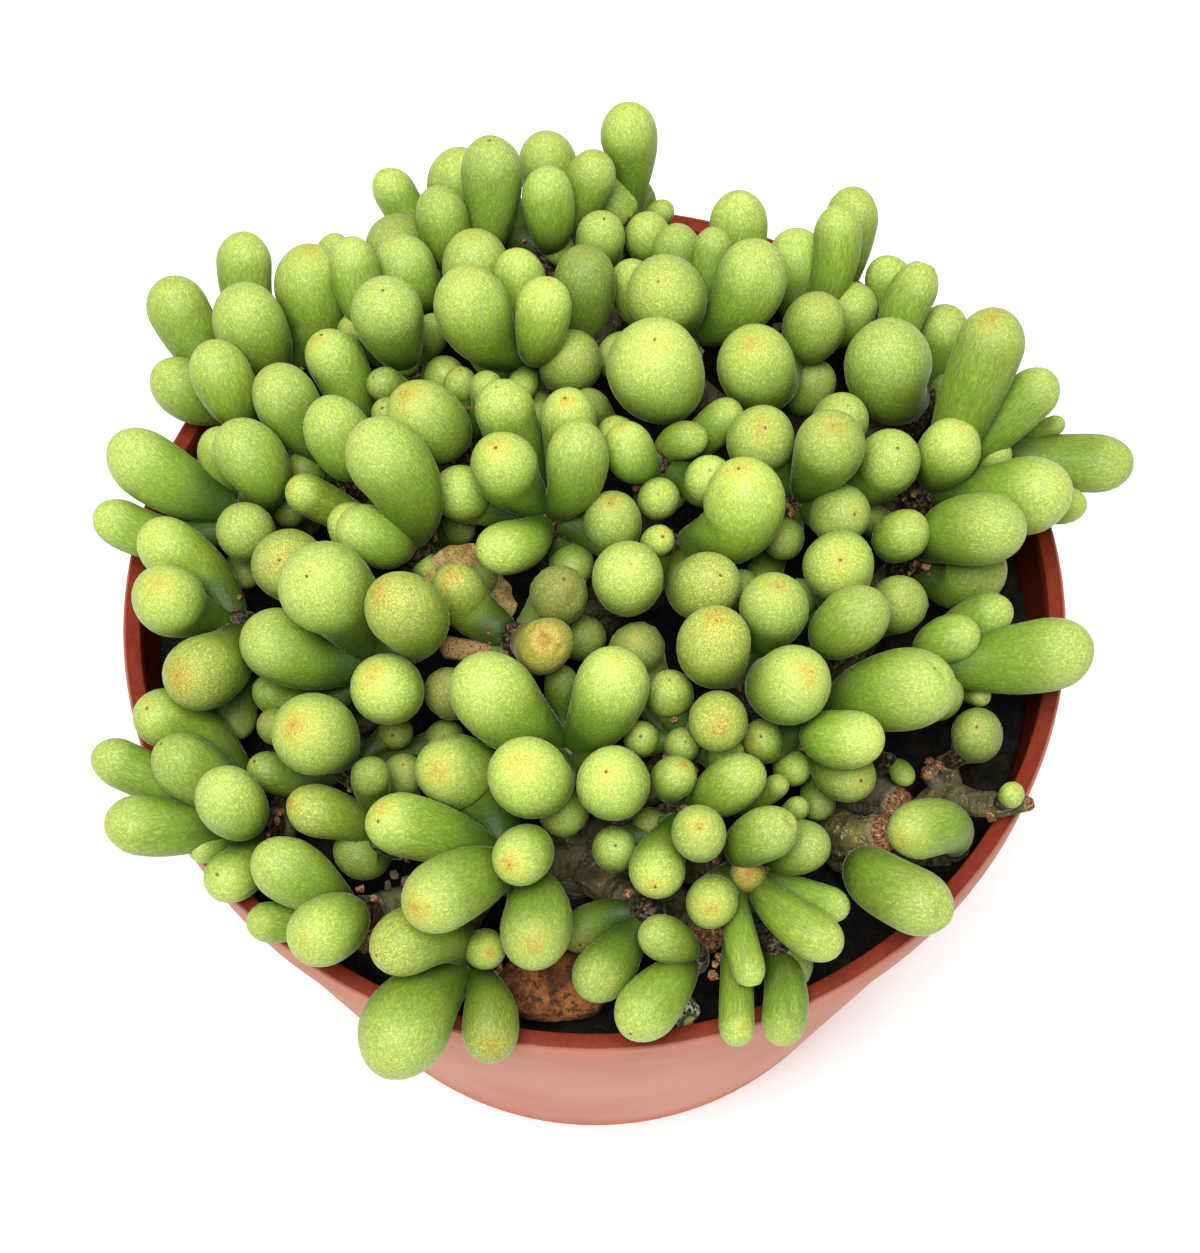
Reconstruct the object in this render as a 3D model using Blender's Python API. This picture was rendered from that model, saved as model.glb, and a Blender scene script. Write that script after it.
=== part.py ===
"""An egg-leaved succulent in a 12 cm plastic pot.

Plump club-shaped leaves grow in heads at the ends of short knobbly stems, which stand in the
soil of a round, tapered pot.  Sizes here are in millimetres; every mesh is written in metres.
Z points up, and the origin is the middle of the pot's foot.
"""
import math

import bmesh
import bpy
import numpy as np
from mathutils import Vector

MM = 0.001
GAP = 0.3                      # clear distance between touching pieces

# Pot
RIM_RADIUS = 60.0
POT_HEIGHT = 90.0
FOOT_RADIUS = 45.6
LIP_WALL = 2.3
SIDE_WALL = 1.7
COLLAR_HEIGHT = 5.6
COLLAR_STEP = 0.5
FLOOR_THICKNESS = 2.4
POT_SIDES = 48
DRAIN_RADIUS = 3.5
DRAIN_CIRCLE = 30.0
DRAIN_COUNT = 4

# Soil
SOIL_TOP = 80.0
SOIL_RELIEF = 0.5
SOCKET_DEPTH = 11.0            # how far a stem's foot stands in its hole

# The mound that the leaf heads form
CROWN_RISE = 16.0              # above the rim, in the middle of the pot
CROWN_FALL = 14.0              # lower than that at CROWN_RADIUS
CROWN_RADIUS = 55.0
HEAD_LEAN = 0.45               # outward lean of a head at the rim
HEAD_LIMIT = 52.5              # heads stand this far from the pot's axis at most
LOWEST_HEAD = 89.0

# Leaves
CAP = 0.62                     # from the widest place to the tip, in widths
REACH = 1.1                    # from the root to the widest place, in widths
NECK = 0.46                    # width at the root, as a share of the full width
LEAF_ROOT_SINK = 0.6

# A head's green core, and the woody stems under it
CORE_UP = 3.0
CORE_DOWN = 6.2
CORE_RADIUS = 3.0
SMALL_CORE_RADIUS = 1.5
SMALL_CORE_DOWN = 2.5
STEM_SIDES = 5
TRUNK_RADIUS = 5.0
TRUNK_SIDES = 10
STEM_START = 2.6
STEM_END = 2.2
FACES_KEPT = 0.74              # of a joined body's faces

# The plant is laid out as it shows from a point above and in front of the pot.  A place in the
# layout is a distance across and up, on a plane LAYOUT_DISTANCE from that point.
VIEW_POINT = np.array((0.7, -139.0, 362.7))
VIEW_TILT = math.radians(63.8)
LAYOUT_DISTANCE = 300.0
FORWARD = np.array((0.0, math.cos(VIEW_TILT), -math.sin(VIEW_TILT)))
RIGHT = np.array((1.0, 0.0, 0.0))
UP = np.array((0.0, math.sin(VIEW_TILT), math.cos(VIEW_TILT)))

# Leaf heads: (across, up) of the head, then its leaves as
# (across, up, width, tip across, tip up, depth).  The tip is given from the widest place.
# Depth is 0 for a leaf on top of the head, 1 for one that lies beside or behind it.
# A few heads also have a height of their own, and a route for their stem as
# (across, up, height, radius).
HEADS = [
    # along the back
    ((4.5, 49.0), [
        (3.5, 60.5, 7.0, -0.5, 3.0, 0), (3.5, 52.5, 7.5, -4.0, 0.0, 1),
        (6.5, 51.5, 3.5, 1.0, 1.0, 1), (0.5, 49.5, 6.0, 0.5, 2.5, 0),
        (5.0, 49.0, 5.75, 0.0, 2.0, 0)]),
    ((-18.0, 43.0), [
        (-25.0, 53.5, 5.5, -1.5, 2.5, 1), (-24.5, 48.0, 8.5, -2.0, 2.0, 1),
        (-24.5, 45.0, 7.75, -1.5, 4.0, 0), (-18.5, 54.5, 8.0, 0.0, 4.5, 0.5),
        (-19.5, 51.5, 6.75, -1.0, 4.0, 0), (-13.5, 56.0, 7.5, -0.5, 4.0, 0.5),
        (-16.0, 45.0, 8.5, -1.0, 4.0, 0)]),
    ((-6.5, 46.5), [
        (-11.5, 51.0, 5.25, -1.0, 3.75, 0), (-6.5, 52.5, 6.5, -0.5, 5.0, 0),
        (-5.5, 57.0, 7.5, -1.0, 4.5, 1), (-2.0, 55.5, 6.25, 1.0, 3.0, 1),
        (-4.5, 48.0, 4.0, -1.0, 2.0, 0)]),
    ((-8.5, 33.0), [
        (-15.5, 39.0, 9.5, -1.0, 4.0, 0), (-9.0, 43.5, 6.25, -1.0, 3.75, 0.5),
        (-7.0, 38.5, 7.0, 0.5, 3.5, 0), (-13.5, 35.0, 6.0, -2.5, 2.0, 0),
        (-4.0, 32.0, 8.25, 1.0, 1.0, 1), (-10.0, 30.5, 3.75, -0.5, -0.5, 0),
        (-7.5, 28.0, 4.75, 0.0, -1.5, 0.5), (-2.0, 42.5, 8.0, 0.0, 4.0, 1)]),
    # back left
    ((-44.5, 26.5), [
        (-51.5, 39.5, 7.75, -2.0, 4.0, 0), (-46.5, 32.0, 7.75, -2.0, 4.0, 0),
        (-51.5, 30.0, 7.25, -4.0, 3.0, 0)]),
    ((-39.5, 31.5), [
        (-43.5, 45.0, 6.75, 0.0, 4.0, 0.5), (-37.0, 42.0, 9.25, -1.0, 6.0, 0),
        (-44.0, 36.5, 9.5, -1.5, 4.5, 0), (-34.0, 45.5, 5.0, 0.0, 3.0, 1)]),
    ((-31.5, 20.0), [
        (-39.0, 28.5, 8.25, -2.0, 3.5, 0), (-32.5, 33.0, 7.25, -2.0, 3.0, 0.5),
        (-33.0, 23.5, 8.25, -2.5, 4.5, 0)]),
    ((-24.0, 32.0), [
        (-30.5, 44.5, 6.25, -1.0, 5.0, 0.5), (-30.5, 37.5, 4.5, -1.0, 1.0, 1),
        (-26.5, 38.0, 8.75, -1.0, 3.0, 0), (-25.0, 34.5, 4.75, -1.5, 2.0, 0),
        (-21.0, 36.5, 4.5, 0.5, 2.0, 0.5), (-19.5, 31.5, 5.25, 1.0, 0.5, 0.5)]),
    # middle
    ((-17.5, 23.5), [
        (-21.5, 25.0, 9.5, -3.0, 3.0, 0), (-16.5, 30.5, 4.5, 0.0, 2.0, 0.5),
        (-15.0, 29.5, 4.75, -0.5, 2.5, 0.5), (-27.0, 29.5, 4.5, -1.5, 1.0, 1),
        (-26.5, 27.5, 4.5, -1.0, 1.0, 0.5)]),
    ((-23.5, 10.0), [
        (-25.5, 20.0, 10.0, -3.5, 4.0, 0), (-35.5, 16.5, 5.25, -2.0, 1.0, 1),
        (-31.5, 13.0, 6.25, -2.0, 2.0, 1), (-28.5, 12.5, 7.25, -3.5, 2.0, 0),
        (-21.5, 12.5, 3.75, 0.0, 1.0, 1), (-21.0, 8.0, 3.75, 0.5, 0.0, 1)]),
    ((-6.5, 13.5), [
        (-18.0, 16.0, 7.25, -2.0, 1.0, 0.5), (-12.0, 26.5, 7.5, -1.0, 3.0, 1),
        (-4.5, 26.0, 7.0, -0.5, 3.0, 1), (-11.0, 20.0, 8.5, -1.0, 2.5, 0),
        (-2.5, 20.0, 8.0, 0.0, 4.5, 0), (-11.5, 10.0, 7.0, -3.5, -0.5, 0),
        (1.0, 13.5, 7.5, -0.5, 2.5, 0), (-3.5, 8.0, 5.5, 0.5, -1.0, 1)]),
    # left edge
    ((-44.0, 14.0), [
        (-57.0, 20.0, 8.5, -4.5, 3.5, 0), (-59.5, 13.0, 6.25, -3.5, 2.0, 0.5),
        (-44.5, 12.0, 7.5, -1.0, 1.0, 0), (-47.0, 22.5, 6.25, -1.0, 3.0, 1),
        (-43.0, 21.0, 8.5, -3.5, 3.5, 0)]),
    ((-44.5, 0.0), [
        (-53.0, 9.0, 8.0, -3.5, 2.5, 0), (-53.5, 3.5, 9.0, -1.5, 2.0, 0),
        (-46.0, 0.0, 5.0, -0.5, 0.0, 1), (-50.0, -6.5, 9.5, -3.0, -0.5, 0),
        (-45.0, -12.0, 5.25, 0.0, -3.5, 1)]),
    ((-28.0, -4.5), [
        (-38.5, 7.5, 9.25, -1.0, 0.5, 0.5), (-33.0, 4.5, 11.5, -2.5, 1.5, 0),
        (-40.0, -3.0, 9.5, -4.5, 2.5, 0), (-25.5, 2.5, 9.5, -3.0, 2.0, 0),
        (-41.0, -8.0, 5.0, -3.5, 2.5, 1), (-27.5, -8.5, 9.0, -2.0, 1.5, 0)]),
    ((-10.5, -1.5), [
        (-18.0, 3.0, 7.5, -1.5, 3.0, 0), (-6.5, -2.0, 7.25, 0.5, 1.0, 0),
        (-4.5, 3.5, 7.25, 0.5, 2.0, 0), (-19.5, -8.0, 6.5, -0.5, 1.0, 0.5)]),
    ((-4.0, -16.0), [
        (-13.0, -9.0, 10.75, -3.0, 4.0, 0), (1.5, -8.0, 9.75, 1.0, 4.0, 0),
        (-5.0, -7.0, 4.5, 0.0, 2.0, 1), (-9.0, -20.0, 10.0, -1.5, 2.0, 0),
        (2.0, -19.5, 9.25, -1.0, 1.5, 0), (-4.5, -22.5, 7.0, 0.0, -1.5, 1)]),
    ((7.0, 20.0), [
        (3.5, 22.0, 6.25, -1.0, 3.0, 0), (1.5, 24.5, 5.0, -1.0, 2.0, 1),
        (0.0, 27.0, 5.0, -1.0, 2.0, 1), (11.0, 24.0, 4.75, 3.0, 0.5, 0.5),
        (15.0, 26.5, 5.25, 2.0, 2.0, 1), (13.5, 18.5, 6.25, 0.5, 1.5, 0),
        (7.0, 16.0, 5.25, 0.0, 0.5, 0), (9.0, 16.5, 3.75, 1.0, 1.0, 1)]),
    ((9.0, 9.5), [
        (18.0, 15.0, 10.0, 0.0, 5.0, 0), (7.0, 10.5, 4.0, 1.0, 0.5, 0),
        (13.0, 5.0, 8.5, 2.0, 1.5, 0), (3.5, 5.5, 9.25, 0.5, 2.0, 0)]),
    # back right
    ((11.0, 36.0), [
        (7.0, 32.5, 12.5, 0.0, 4.0, 0), (3.0, 32.5, 7.5, -3.0, 1.0, 1),
        (4.0, 42.5, 6.25, -1.0, 4.0, 0), (9.0, 40.5, 9.75, -1.0, 2.0, 0),
        (18.0, 42.5, 9.0, 1.0, 4.5, 0), (10.5, 46.5, 6.25, 0.0, 4.0, 1),
        (15.0, 46.5, 5.0, 0.5, 3.0, 1), (17.5, 49.0, 7.5, 0.0, 4.0, 1)]),
    ((25.0, 36.0), [
        (19.0, 33.5, 10.0, -0.5, 3.0, 0), (26.0, 30.0, 6.5, 2.0, 2.5, 0),
        (26.0, 37.0, 7.75, 1.0, 3.0, 0), (25.0, 46.0, 7.75, -0.5, 5.5, 0),
        (29.0, 48.5, 6.0, 0.0, 4.0, 0.5), (31.5, 50.0, 6.5, 0.5, 3.5, 1),
        (32.0, 39.0, 7.25, 2.0, 2.5, 0.5)]),
    ((24.5, 15.5), [
        (20.5, 23.5, 8.5, 0.5, 2.0, 0), (28.0, 21.5, 8.75, 0.5, 2.5, 0),
        (23.0, 11.0, 5.5, 0.0, 0.0, 0), (29.5, 13.5, 7.5, 2.0, 0.0, 0),
        (30.5, 25.0, 7.0, 1.0, 2.0, 1), (36.0, 20.0, 8.0, 1.5, 2.0, 0.5)]),
    ((40.0, 28.0), [
        (36.0, 32.5, 10.75, 0.5, 5.0, 0), (36.0, 42.5, 6.0, -1.0, 3.5, 1),
        (38.0, 42.0, 6.25, 2.0, 3.5, 1), (42.0, 37.0, 6.5, 0.5, 3.0, 0.5),
        (43.0, 30.0, 5.0, 1.0, 1.0, 1)]),
    ((41.0, 17.0), [
        (43.5, 22.0, 7.75, 1.5, 2.5, 0), (49.5, 34.0, 9.5, 2.0, 5.5, 0),
        (53.0, 29.5, 7.0, 3.0, 3.0, 1), (49.5, 22.0, 5.0, 2.0, 1.0, 1),
        (53.0, 17.5, 9.75, 4.5, 1.0, 0), (57.0, 16.0, 5.0, 3.0, 0.0, 1)]),
    # right edge
    ((47.0, 23.5), [
        (57.0, 24.5, 2.5, 1.5, 0.5, 1), (61.5, 20.5, 7.5, 4.5, 0.0, 0.5)]),
    ((39.5, 9.0), [
        (38.0, 11.5, 6.5, 2.5, 1.5, 0), (48.5, 12.5, 9.5, 4.0, 0.0, 0),
        (45.0, 6.0, 8.75, 4.0, 1.5, 1)]),
    ((30.0, -1.5), [
        (30.0, 8.5, 9.0, 0.0, 1.0, 0), (31.0, 1.5, 8.0, 4.0, 3.0, 0),
        (37.5, 2.5, 7.25, 1.5, 1.0, 0.5), (25.0, 3.5, 5.0, -0.5, 1.0, 1)]),
    ((40.0, -5.5), [
        (44.0, -1.5, 6.0, 4.0, 1.0, 0.5), (48.5, 1.0, 5.75, 3.0, 1.0, 1),
        (55.5, -2.5, 9.25, 5.0, 1.0, 0), (42.0, -8.0, 7.5, 3.0, 0.0, 1),
        (46.5, -8.5, 3.0, 1.0, -0.5, 1)]),
    ((20.0, -5.0), [
        (21.5, 1.5, 8.5, 0.5, 2.5, 0), (15.0, -3.0, 9.25, 0.5, 3.0, 0),
        (17.0, 5.0, 5.5, 0.0, 1.0, 1), (23.5, -7.0, 9.75, 2.5, 1.5, 0)]),
    ((11.0, -14.5), [
        (8.5, -7.5, 6.0, 0.0, 2.0, 0.5), (4.5, -2.5, 7.5, 0.0, 2.0, 1),
        (6.0, -14.0, 4.5, 0.0, 0.5, 0), (10.0, -15.0, 4.5, 0.5, 0.5, 0.5),
        (15.0, -11.0, 7.5, 0.0, -0.5, 0), (15.0, -17.0, 4.75, 1.5, 0.5, 0)]),
    ((27.0, -12.5), [
        (21.0, -15.0, 5.5, 0.0, 1.0, 0), (24.0, -17.0, 4.5, 1.5, -0.5, 1),
        (30.0, -18.5, 7.0, 2.5, -1.0, 0.5), (31.5, -13.5, 7.5, 4.0, 0.0, 0),
        (37.5, -8.0, 10.75, 5.5, 0.5, 0)]),
    # along the front
    ((11.0, -23.0), [
        (17.5, -20.5, 7.0, 3.0, 2.0, 0), (9.0, -19.0, 5.5, 1.5, 1.5, 0),
        (3.0, -28.0, 5.75, 0.5, 0.5, 0), (12.0, -27.0, 7.0, 0.0, 1.0, 0),
        (22.0, -20.0, 3.0, 1.0, 1.0, 1), (7.5, -31.5, 7.0, 0.0, -2.0, 0),
        (6.0, -25.5, 4.5, 0.0, 0.0, 1)]),
    ((17.5, -29.5), [
        (18.0, -30.0, 4.5, -0.5, 0.5, 0), (20.0, -25.0, 7.0, 3.0, 1.5, 0),
        (24.5, -28.5, 7.25, 3.5, 0.5, 0.5), (28.0, -35.0, 4.75, 4.5, -1.5, 0.5),
        (26.0, -39.5, 6.5, 4.0, -2.5, 0), (14.0, -33.5, 6.75, 0.0, -0.5, 0),
        (24.5, -23.0, 3.0, 1.0, 1.0, 1), (18.0, -43.5, 5.25, 1.5, -5.0, 0.5),
        (17.0, -48.5, 5.75, 0.0, -3.0, 1)]),
    ((6.0, -35.5), [
        (0.5, -42.5, 7.0, -2.5, -2.5, 0), (-1.0, -38.5, 5.75, -3.0, -2.0, 1)]),
    ((11.5, -41.5), [
        (8.0, -38.5, 5.75, -3.0, 1.0, 0), (5.5, -46.5, 7.75, -3.0, -3.5, 0)]),
    ((22.0, -39.5), [
        (23.0, -48.0, 5.75, -0.5, -4.0, 1), (22.5, -41.5, 6.75, 1.0, -3.5, 1)]),
    ((-15.5, -41.5), [
        (-23.5, -40.5, 8.5, -4.0, -2.0, 0), (-24.5, -49.0, 11.25, -2.5, -5.0, 0.5),
        (-14.0, -50.0, 7.5, 0.0, -4.5, 0), (-14.0, -40.0, 5.0, 0.5, -0.5, 0)],
     [(-13.0, -31.5, 83.8, 2.3), (-17.4, -38.0, 85.5, 2.1)]),
    ((-11.0, -30.0), [
        (-19.0, -19.0, 9.5, -3.5, 1.0, 0.5), (-24.5, -24.0, 8.25, -4.5, 1.0, 0.5),
        (-11.0, -28.5, 7.5, -1.5, -1.0, 0), (-19.0, -34.5, 9.5, -3.5, -2.0, 0),
        (-8.5, -36.5, 9.25, -1.0, -4.5, 0)]),
    # front left
    ((-27.0, -26.5), [
        (-34.5, -22.0, 6.75, -3.5, 1.0, 0.5), (-30.5, -28.0, 6.75, -3.5, 1.0, 1),
        (-25.5, -18.0, 5.5, 0.0, 1.5, 1), (-29.5, -18.0, 5.0, 0.0, 1.0, 1)]),
    ((-30.5, -36.0), [
        (-38.0, -30.0, 8.25, -4.0, 2.5, 0), (-34.5, -38.0, 9.0, -2.5, -1.5, 0),
        (-41.0, -37.0, 5.25, -3.0, 0.0, 1)]),
    ((-43.5, -24.5), [
        (-46.5, -21.5, 8.25, -2.0, 2.5, 0), (-56.5, -24.0, 7.5, -5.0, 0.5, 0.5),
        (-49.5, -27.5, 4.25, -2.0, -1.0, 0.5), (-46.0, -31.0, 7.0, -2.0, -1.0, 0),
        (-52.5, -18.0, 8.0, -4.0, 2.5, 0.5), (-59.0, -16.5, 6.25, -3.5, 1.5, 1),
        (-53.0, -12.0, 7.5, -3.5, 1.0, 1)]),
    ((-31.5, -17.5), [
        (-41.0, -17.0, 5.25, -2.5, 1.0, 1), (-34.5, -13.5, 10.5, -2.5, 1.0, 0),
        (-25.5, -13.5, 4.25, 0.0, -0.5, 1), (-19.5, -13.0, 5.0, 0.0, 0.5, 1)]),
    # single leaves on the bare stems at the right
    ((44.5, -16.5, 90.5), [(46.5, -14.0, 6.5, 0.0, 1.0, 0.5)],
     [(38.0, -23.5, 84.2, 2.4), (43.0, -21.5, 86.5, 2.2)]),
    ((51.0, -21.8, 95.5), [(51.5, -21.0, 3.25, 0.5, 0.5, 0)],
     [(38.0, -23.5, 84.2, 2.4), (43.0, -21.5, 86.8, 2.2), (47.2, -22.2, 91.6, 1.6)]),
    ((35.5, -17.0, 91.0), [(37.5, -19.0, 3.0, 1.5, -2.0, 0.5)],
     [(33.0, -19.0, 85.0, 2.2)]),
    ((32.5, -29.5, 90.5), [(39.5, -33.0, 9.0, 4.0, -2.0, 0)],
     [(30.0, -27.0, 84.5, 2.6)]),
    ((44.5, -28.0, 87.0), [(40.0, -26.5, 7.5, -4.0, -1.0, 0)],
     [(36.0, -26.0, 84.0, 2.2), (41.5, -28.0, 84.0, 2.0)]),
]

# Two dried leaves that still hang at the middle of the plant, as (across, up, height) of the
# root, then a leaf as above.
DRIED_LEAVES = {
    "dried_leaf_upper": ((-14.9, 3.3, 103.5), (-20.0, 7.5, 2.4, -1.4, -0.6, 0.5)),
    "dried_leaf_lower": ((-14.6, -1.6, 105.0), (-18.0, -3.2, 2.0, -1.2, 0.0, 0.5)),
}

DRIED_SPREAD = 1.25            # they fill the space left to them

# Feet of the woody stems, (x, y) in the soil
STEM_FEET = {
    "stem_middle": (0.0, 3.0),
    "stem_back": (-5.0, 34.0),
    "stem_back_left": (-31.0, 24.0),
    "stem_back_right": (27.0, 27.0),
    "stem_front_left": (-33.0, -16.0),
    "stem_front": (-2.5, -33.0),
    "stem_front_right": (27.0, -18.0),
}

# Bare woody parts that show between the leaves: the stem they belong to, then points as
# (across, up, height) and a radius at each.
BARE_WOOD = [
    # the stump, the grey stem behind it, and the fork's knobs and tip
    ("stem_front_right", [(28.5, -25.0, 85.0), (31.5, -26.6, 90.0), (35.2, -26.0, 92.5)],
     [3.0, 2.9, 2.5]),
    ("stem_front_right", [(30.0, -20.5, 84.5), (34.0, -21.2, 87.0), (37.0, -22.3, 88.5)],
     [2.9, 2.9, 2.3]),
    ("stem_front_right", [(43.2, -21.0, 87.0), (41.2, -18.2, 89.0)], [1.5, 1.2]),
    ("stem_front_right", [(49.0, -22.6, 92.8), (53.6, -22.2, 94.6)], [1.3, 0.9]),
    # scarred ends among the front leaves
    ("stem_front", [(14.0, -30.5, 86.0), (18.5, -33.0, 91.0), (22.8, -35.2, 93.0)],
     [2.0, 2.3, 1.7]),
    ("stem_front", [(11.0, -37.0, 85.0), (13.6, -38.5, 90.0)], [2.0, 2.3]),
    ("stem_front", [(9.5, -40.5, 84.5), (9.0, -45.5, 83.6), (10.6, -48.4, 85.0)],
     [1.8, 1.8, 1.9]),
    ("stem_front", [(-27.5, -35.5, 86.0), (-28.8, -38.8, 89.0)], [2.0, 2.2]),
]

STONE_CENTRE = (-5.2, -50.0, SOIL_TOP + SOIL_RELIEF + 4.1)
STONE_SIZE = (7.0, 5.0, 3.7)

# Under leaves: a seeded search over an oval of the layout
UNDER_SEED = 4
UNDER_SPACING = 4.6
UNDER_STEPS = 13
UNDER_MIDDLE = 3.0
UNDER_ACROSS = 52.0
UNDER_UP = 47.0
UNDER_FRONT = -24.0
UNDER_CLEAR = 0.25
UNDER_NEAREST = 4.5
UNDER_FARTHEST = 15.0
UNDER_WIDTH = 6.2

# Settling the leaves
SETTLE_ROUNDS = 360
SHRINK_FROM = 200
CLEAR = 0.62                   # between the round forms, so that faceted ones keep their gap
SIDE_LIMIT = 1.1               # how far a leaf may shift across the layout
SIDE_SHARE = 0.35
MIN_SCALE = 0.72
CHAIN = (0.2, 0.36, 0.52, 0.68, 0.84, 1.0)   # places of the balls between root and widest place
CAP_BALLS = ((0.2, 0.42), (0.36, 0.26))      # (place, radius) of the balls in the tip, in widths
FREE_FROM = 0.75               # leaves of one head may touch nearer the root than this


def unit(vector):
    return vector / math.sqrt(float((vector * vector).sum()))


def view_ray(across, up):
    """Direction from the view point through a place in the layout."""
    return unit(FORWARD * LAYOUT_DISTANCE + RIGHT * across + UP * up)


def at_height(across, up, z):
    """The point at height z that shows at a place in the layout."""
    ray = view_ray(across, up)
    return VIEW_POINT + ray * (z - VIEW_POINT[2]) / ray[2]


def on_crown(across, up):
    """The point of the mound that shows at a place in the layout."""
    z = POT_HEIGHT
    for _ in range(40):
        x, y, _z = at_height(across, up, z)
        fall = CROWN_FALL * (x * x + y * y) / CROWN_RADIUS ** 2
        z = 0.5 * (z + POT_HEIGHT + CROWN_RISE - fall)
    return at_height(across, up, z)


def inside_wall(place, point):
    """Slide a head along its line of sight until it stands clear of the pot's wall."""
    for _ in range(40):
        x, y, z = point
        if math.hypot(x, y) <= HEAD_LIMIT or z < LOWEST_HEAD:
            break
        point = at_height(*place, z + math.copysign(0.25, y))
    return point


def make_head(place, leaf_count, route=()):
    """Where a head sits, which way it leans, its core's size and its stem's route."""
    if len(place) == 3:
        point = at_height(*place)
    else:
        point = inside_wall(place, on_crown(*place))
    lean = HEAD_LEAN / CROWN_RADIUS
    axis = unit(np.array((point[0] * lean, point[1] * lean, 1.0)))
    single = leaf_count == 1
    return {"point": point, "axis": axis, "route": route,
            "radius": SMALL_CORE_RADIUS if single else CORE_RADIUS,
            "down": SMALL_CORE_DOWN if single else CORE_DOWN}


def neck_share(v):
    """Radius between the root (v = 0) and the widest place (v = 1), as a share of the widest."""
    return NECK + (1.0 - NECK) * np.sin(v * math.pi / 2) ** 0.9


def leaf_axis(ray, width, tip):
    """Direction of a leaf's outer end, from where its tip shows."""
    across, up = tip[0] / (CAP * width), tip[1] / (CAP * width)
    size = math.hypot(across, up)
    if size > 0.95:
        across, up = across * 0.95 / size, up * 0.95 / size
    toward = math.sqrt(1.0 - across * across - up * up)
    return unit(RIGHT * across + UP * up - ray * toward)


def start_leaf(head, head_index, row):
    """A leaf before settling: its root, and its widest place on the ray where it shows."""
    across, up, width, tip_across, tip_up, depth = row
    ray = view_ray(across, up)
    core = head["point"] + head["axis"] * (0.5 - 2.5 * min(depth, 1.0))
    foot = VIEW_POINT + ray * float((core - VIEW_POINT) @ ray)
    toward = foot - core
    aside = math.sqrt(float(toward @ toward))
    root = core + toward / max(aside, 1e-6) * min(LEAF_ROOT_SINK, aside)
    reach = REACH * width
    rise = math.sqrt(max(reach * reach - aside * aside, 0.0))
    along = float((foot - VIEW_POINT) @ ray) - rise * (1.0 - depth)
    return {"head": head_index, "ray": ray, "root": root, "along": along, "width": width,
            "axis": leaf_axis(ray, width, (tip_across, tip_up)), "order": depth}


def leaf_middle(leaves):
    """Widest place and true width of each leaf."""
    side = leaves["side"]
    middle = (VIEW_POINT + leaves["ray"] * leaves["along"][:, None]
              + RIGHT * side[:, :1] + UP * side[:, 1:])
    depth = (leaves["ray"] * FORWARD).sum(axis=1) * leaves["along"]
    width = leaves["width"] * leaves["scale"] * depth / LAYOUT_DISTANCE
    return middle, width


def spine_point(root, middle, axis, v):
    """A point of the curved line from a leaf's root to its widest place."""
    span = np.sqrt(((middle - root) ** 2).sum(axis=-1))[..., None]
    bend = middle - axis * span * 0.5
    return root * (1 - v) ** 2 + bend * (2 * v * (1 - v)) + middle * v * v


def leaf_balls(leaves):
    """Balls that fill each leaf: centres, radii."""
    middle, width = leaf_middle(leaves)
    centres = []
    radii = []
    for v in CHAIN:
        centres.append(spine_point(leaves["root"], middle, leaves["axis"], v))
        radii.append(0.5 * width * neck_share(v))
    for place, radius in CAP_BALLS:
        centres.append(middle + leaves["axis"] * (place * width)[:, None])
        radii.append(radius * width)
    return np.stack(centres, axis=1), np.stack(radii, axis=1)


BALL_WEIGHT = np.array(CHAIN + (1.0,) * len(CAP_BALLS))


def wall_profile():
    """The pot's side and lip as a line of (radius, height) with a half thickness."""
    half = 0.5 * LIP_WALL
    return [(RIM_RADIUS - half, POT_HEIGHT - half), (outer_radius(60.0) - half, 60.0)], half


def outer_radius(z):
    """The pot's outside below the collar."""
    top = POT_HEIGHT - COLLAR_HEIGHT
    return FOOT_RADIUS + (RIM_RADIUS - COLLAR_STEP - FOOT_RADIUS) * z / top


def push_from_pot(centres, radii):
    """Movement that takes balls out of the pot's wall and the soil."""
    push = np.zeros_like(centres)
    (a, b), half = wall_profile()
    rho = np.sqrt(centres[..., 0] ** 2 + centres[..., 1] ** 2)
    z = centres[..., 2]
    run = (b[0] - a[0], b[1] - a[1])
    t = ((rho - a[0]) * run[0] + (z - a[1]) * run[1]) / (run[0] ** 2 + run[1] ** 2)
    t = np.clip(t, 0.0, 1.0)
    out = rho - (a[0] + run[0] * t)
    rise = z - (a[1] + run[1] * t)
    away = np.sqrt(out * out + rise * rise) + 1e-9
    deep = np.maximum(radii + half + CLEAR - away, 0.0)
    push[..., 0] += deep * out / away * centres[..., 0] / rho
    push[..., 1] += deep * out / away * centres[..., 1] / rho
    push[..., 2] += deep * rise / away
    soil = np.maximum(SOIL_TOP + SOIL_RELIEF + radii + CLEAR - z, 0.0)
    push[..., 2] += np.where(rho < RIM_RADIUS - LIP_WALL, soil, 0.0)
    return push


def near_pairs(centres, radii, leaf, head, weight):
    """Pairs of balls, of different leaves, that could come to touch."""
    close = []
    count = len(centres)
    for i in range(count - 1):
        rest = slice(i + 1, count)
        gap = np.sqrt(((centres[rest] - centres[i]) ** 2).sum(axis=1)) - radii[rest] - radii[i]
        good = (gap < 2.5) & (leaf[rest] != leaf[i])
        same = head[rest] == head[i]
        good &= ~same | ((weight[rest] >= FREE_FROM) & (weight[i] >= FREE_FROM))
        found = np.nonzero(good)[0] + i + 1
        if len(found):
            close.append(np.stack((np.full(len(found), i), found), axis=1))
    return np.concatenate(close)


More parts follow.
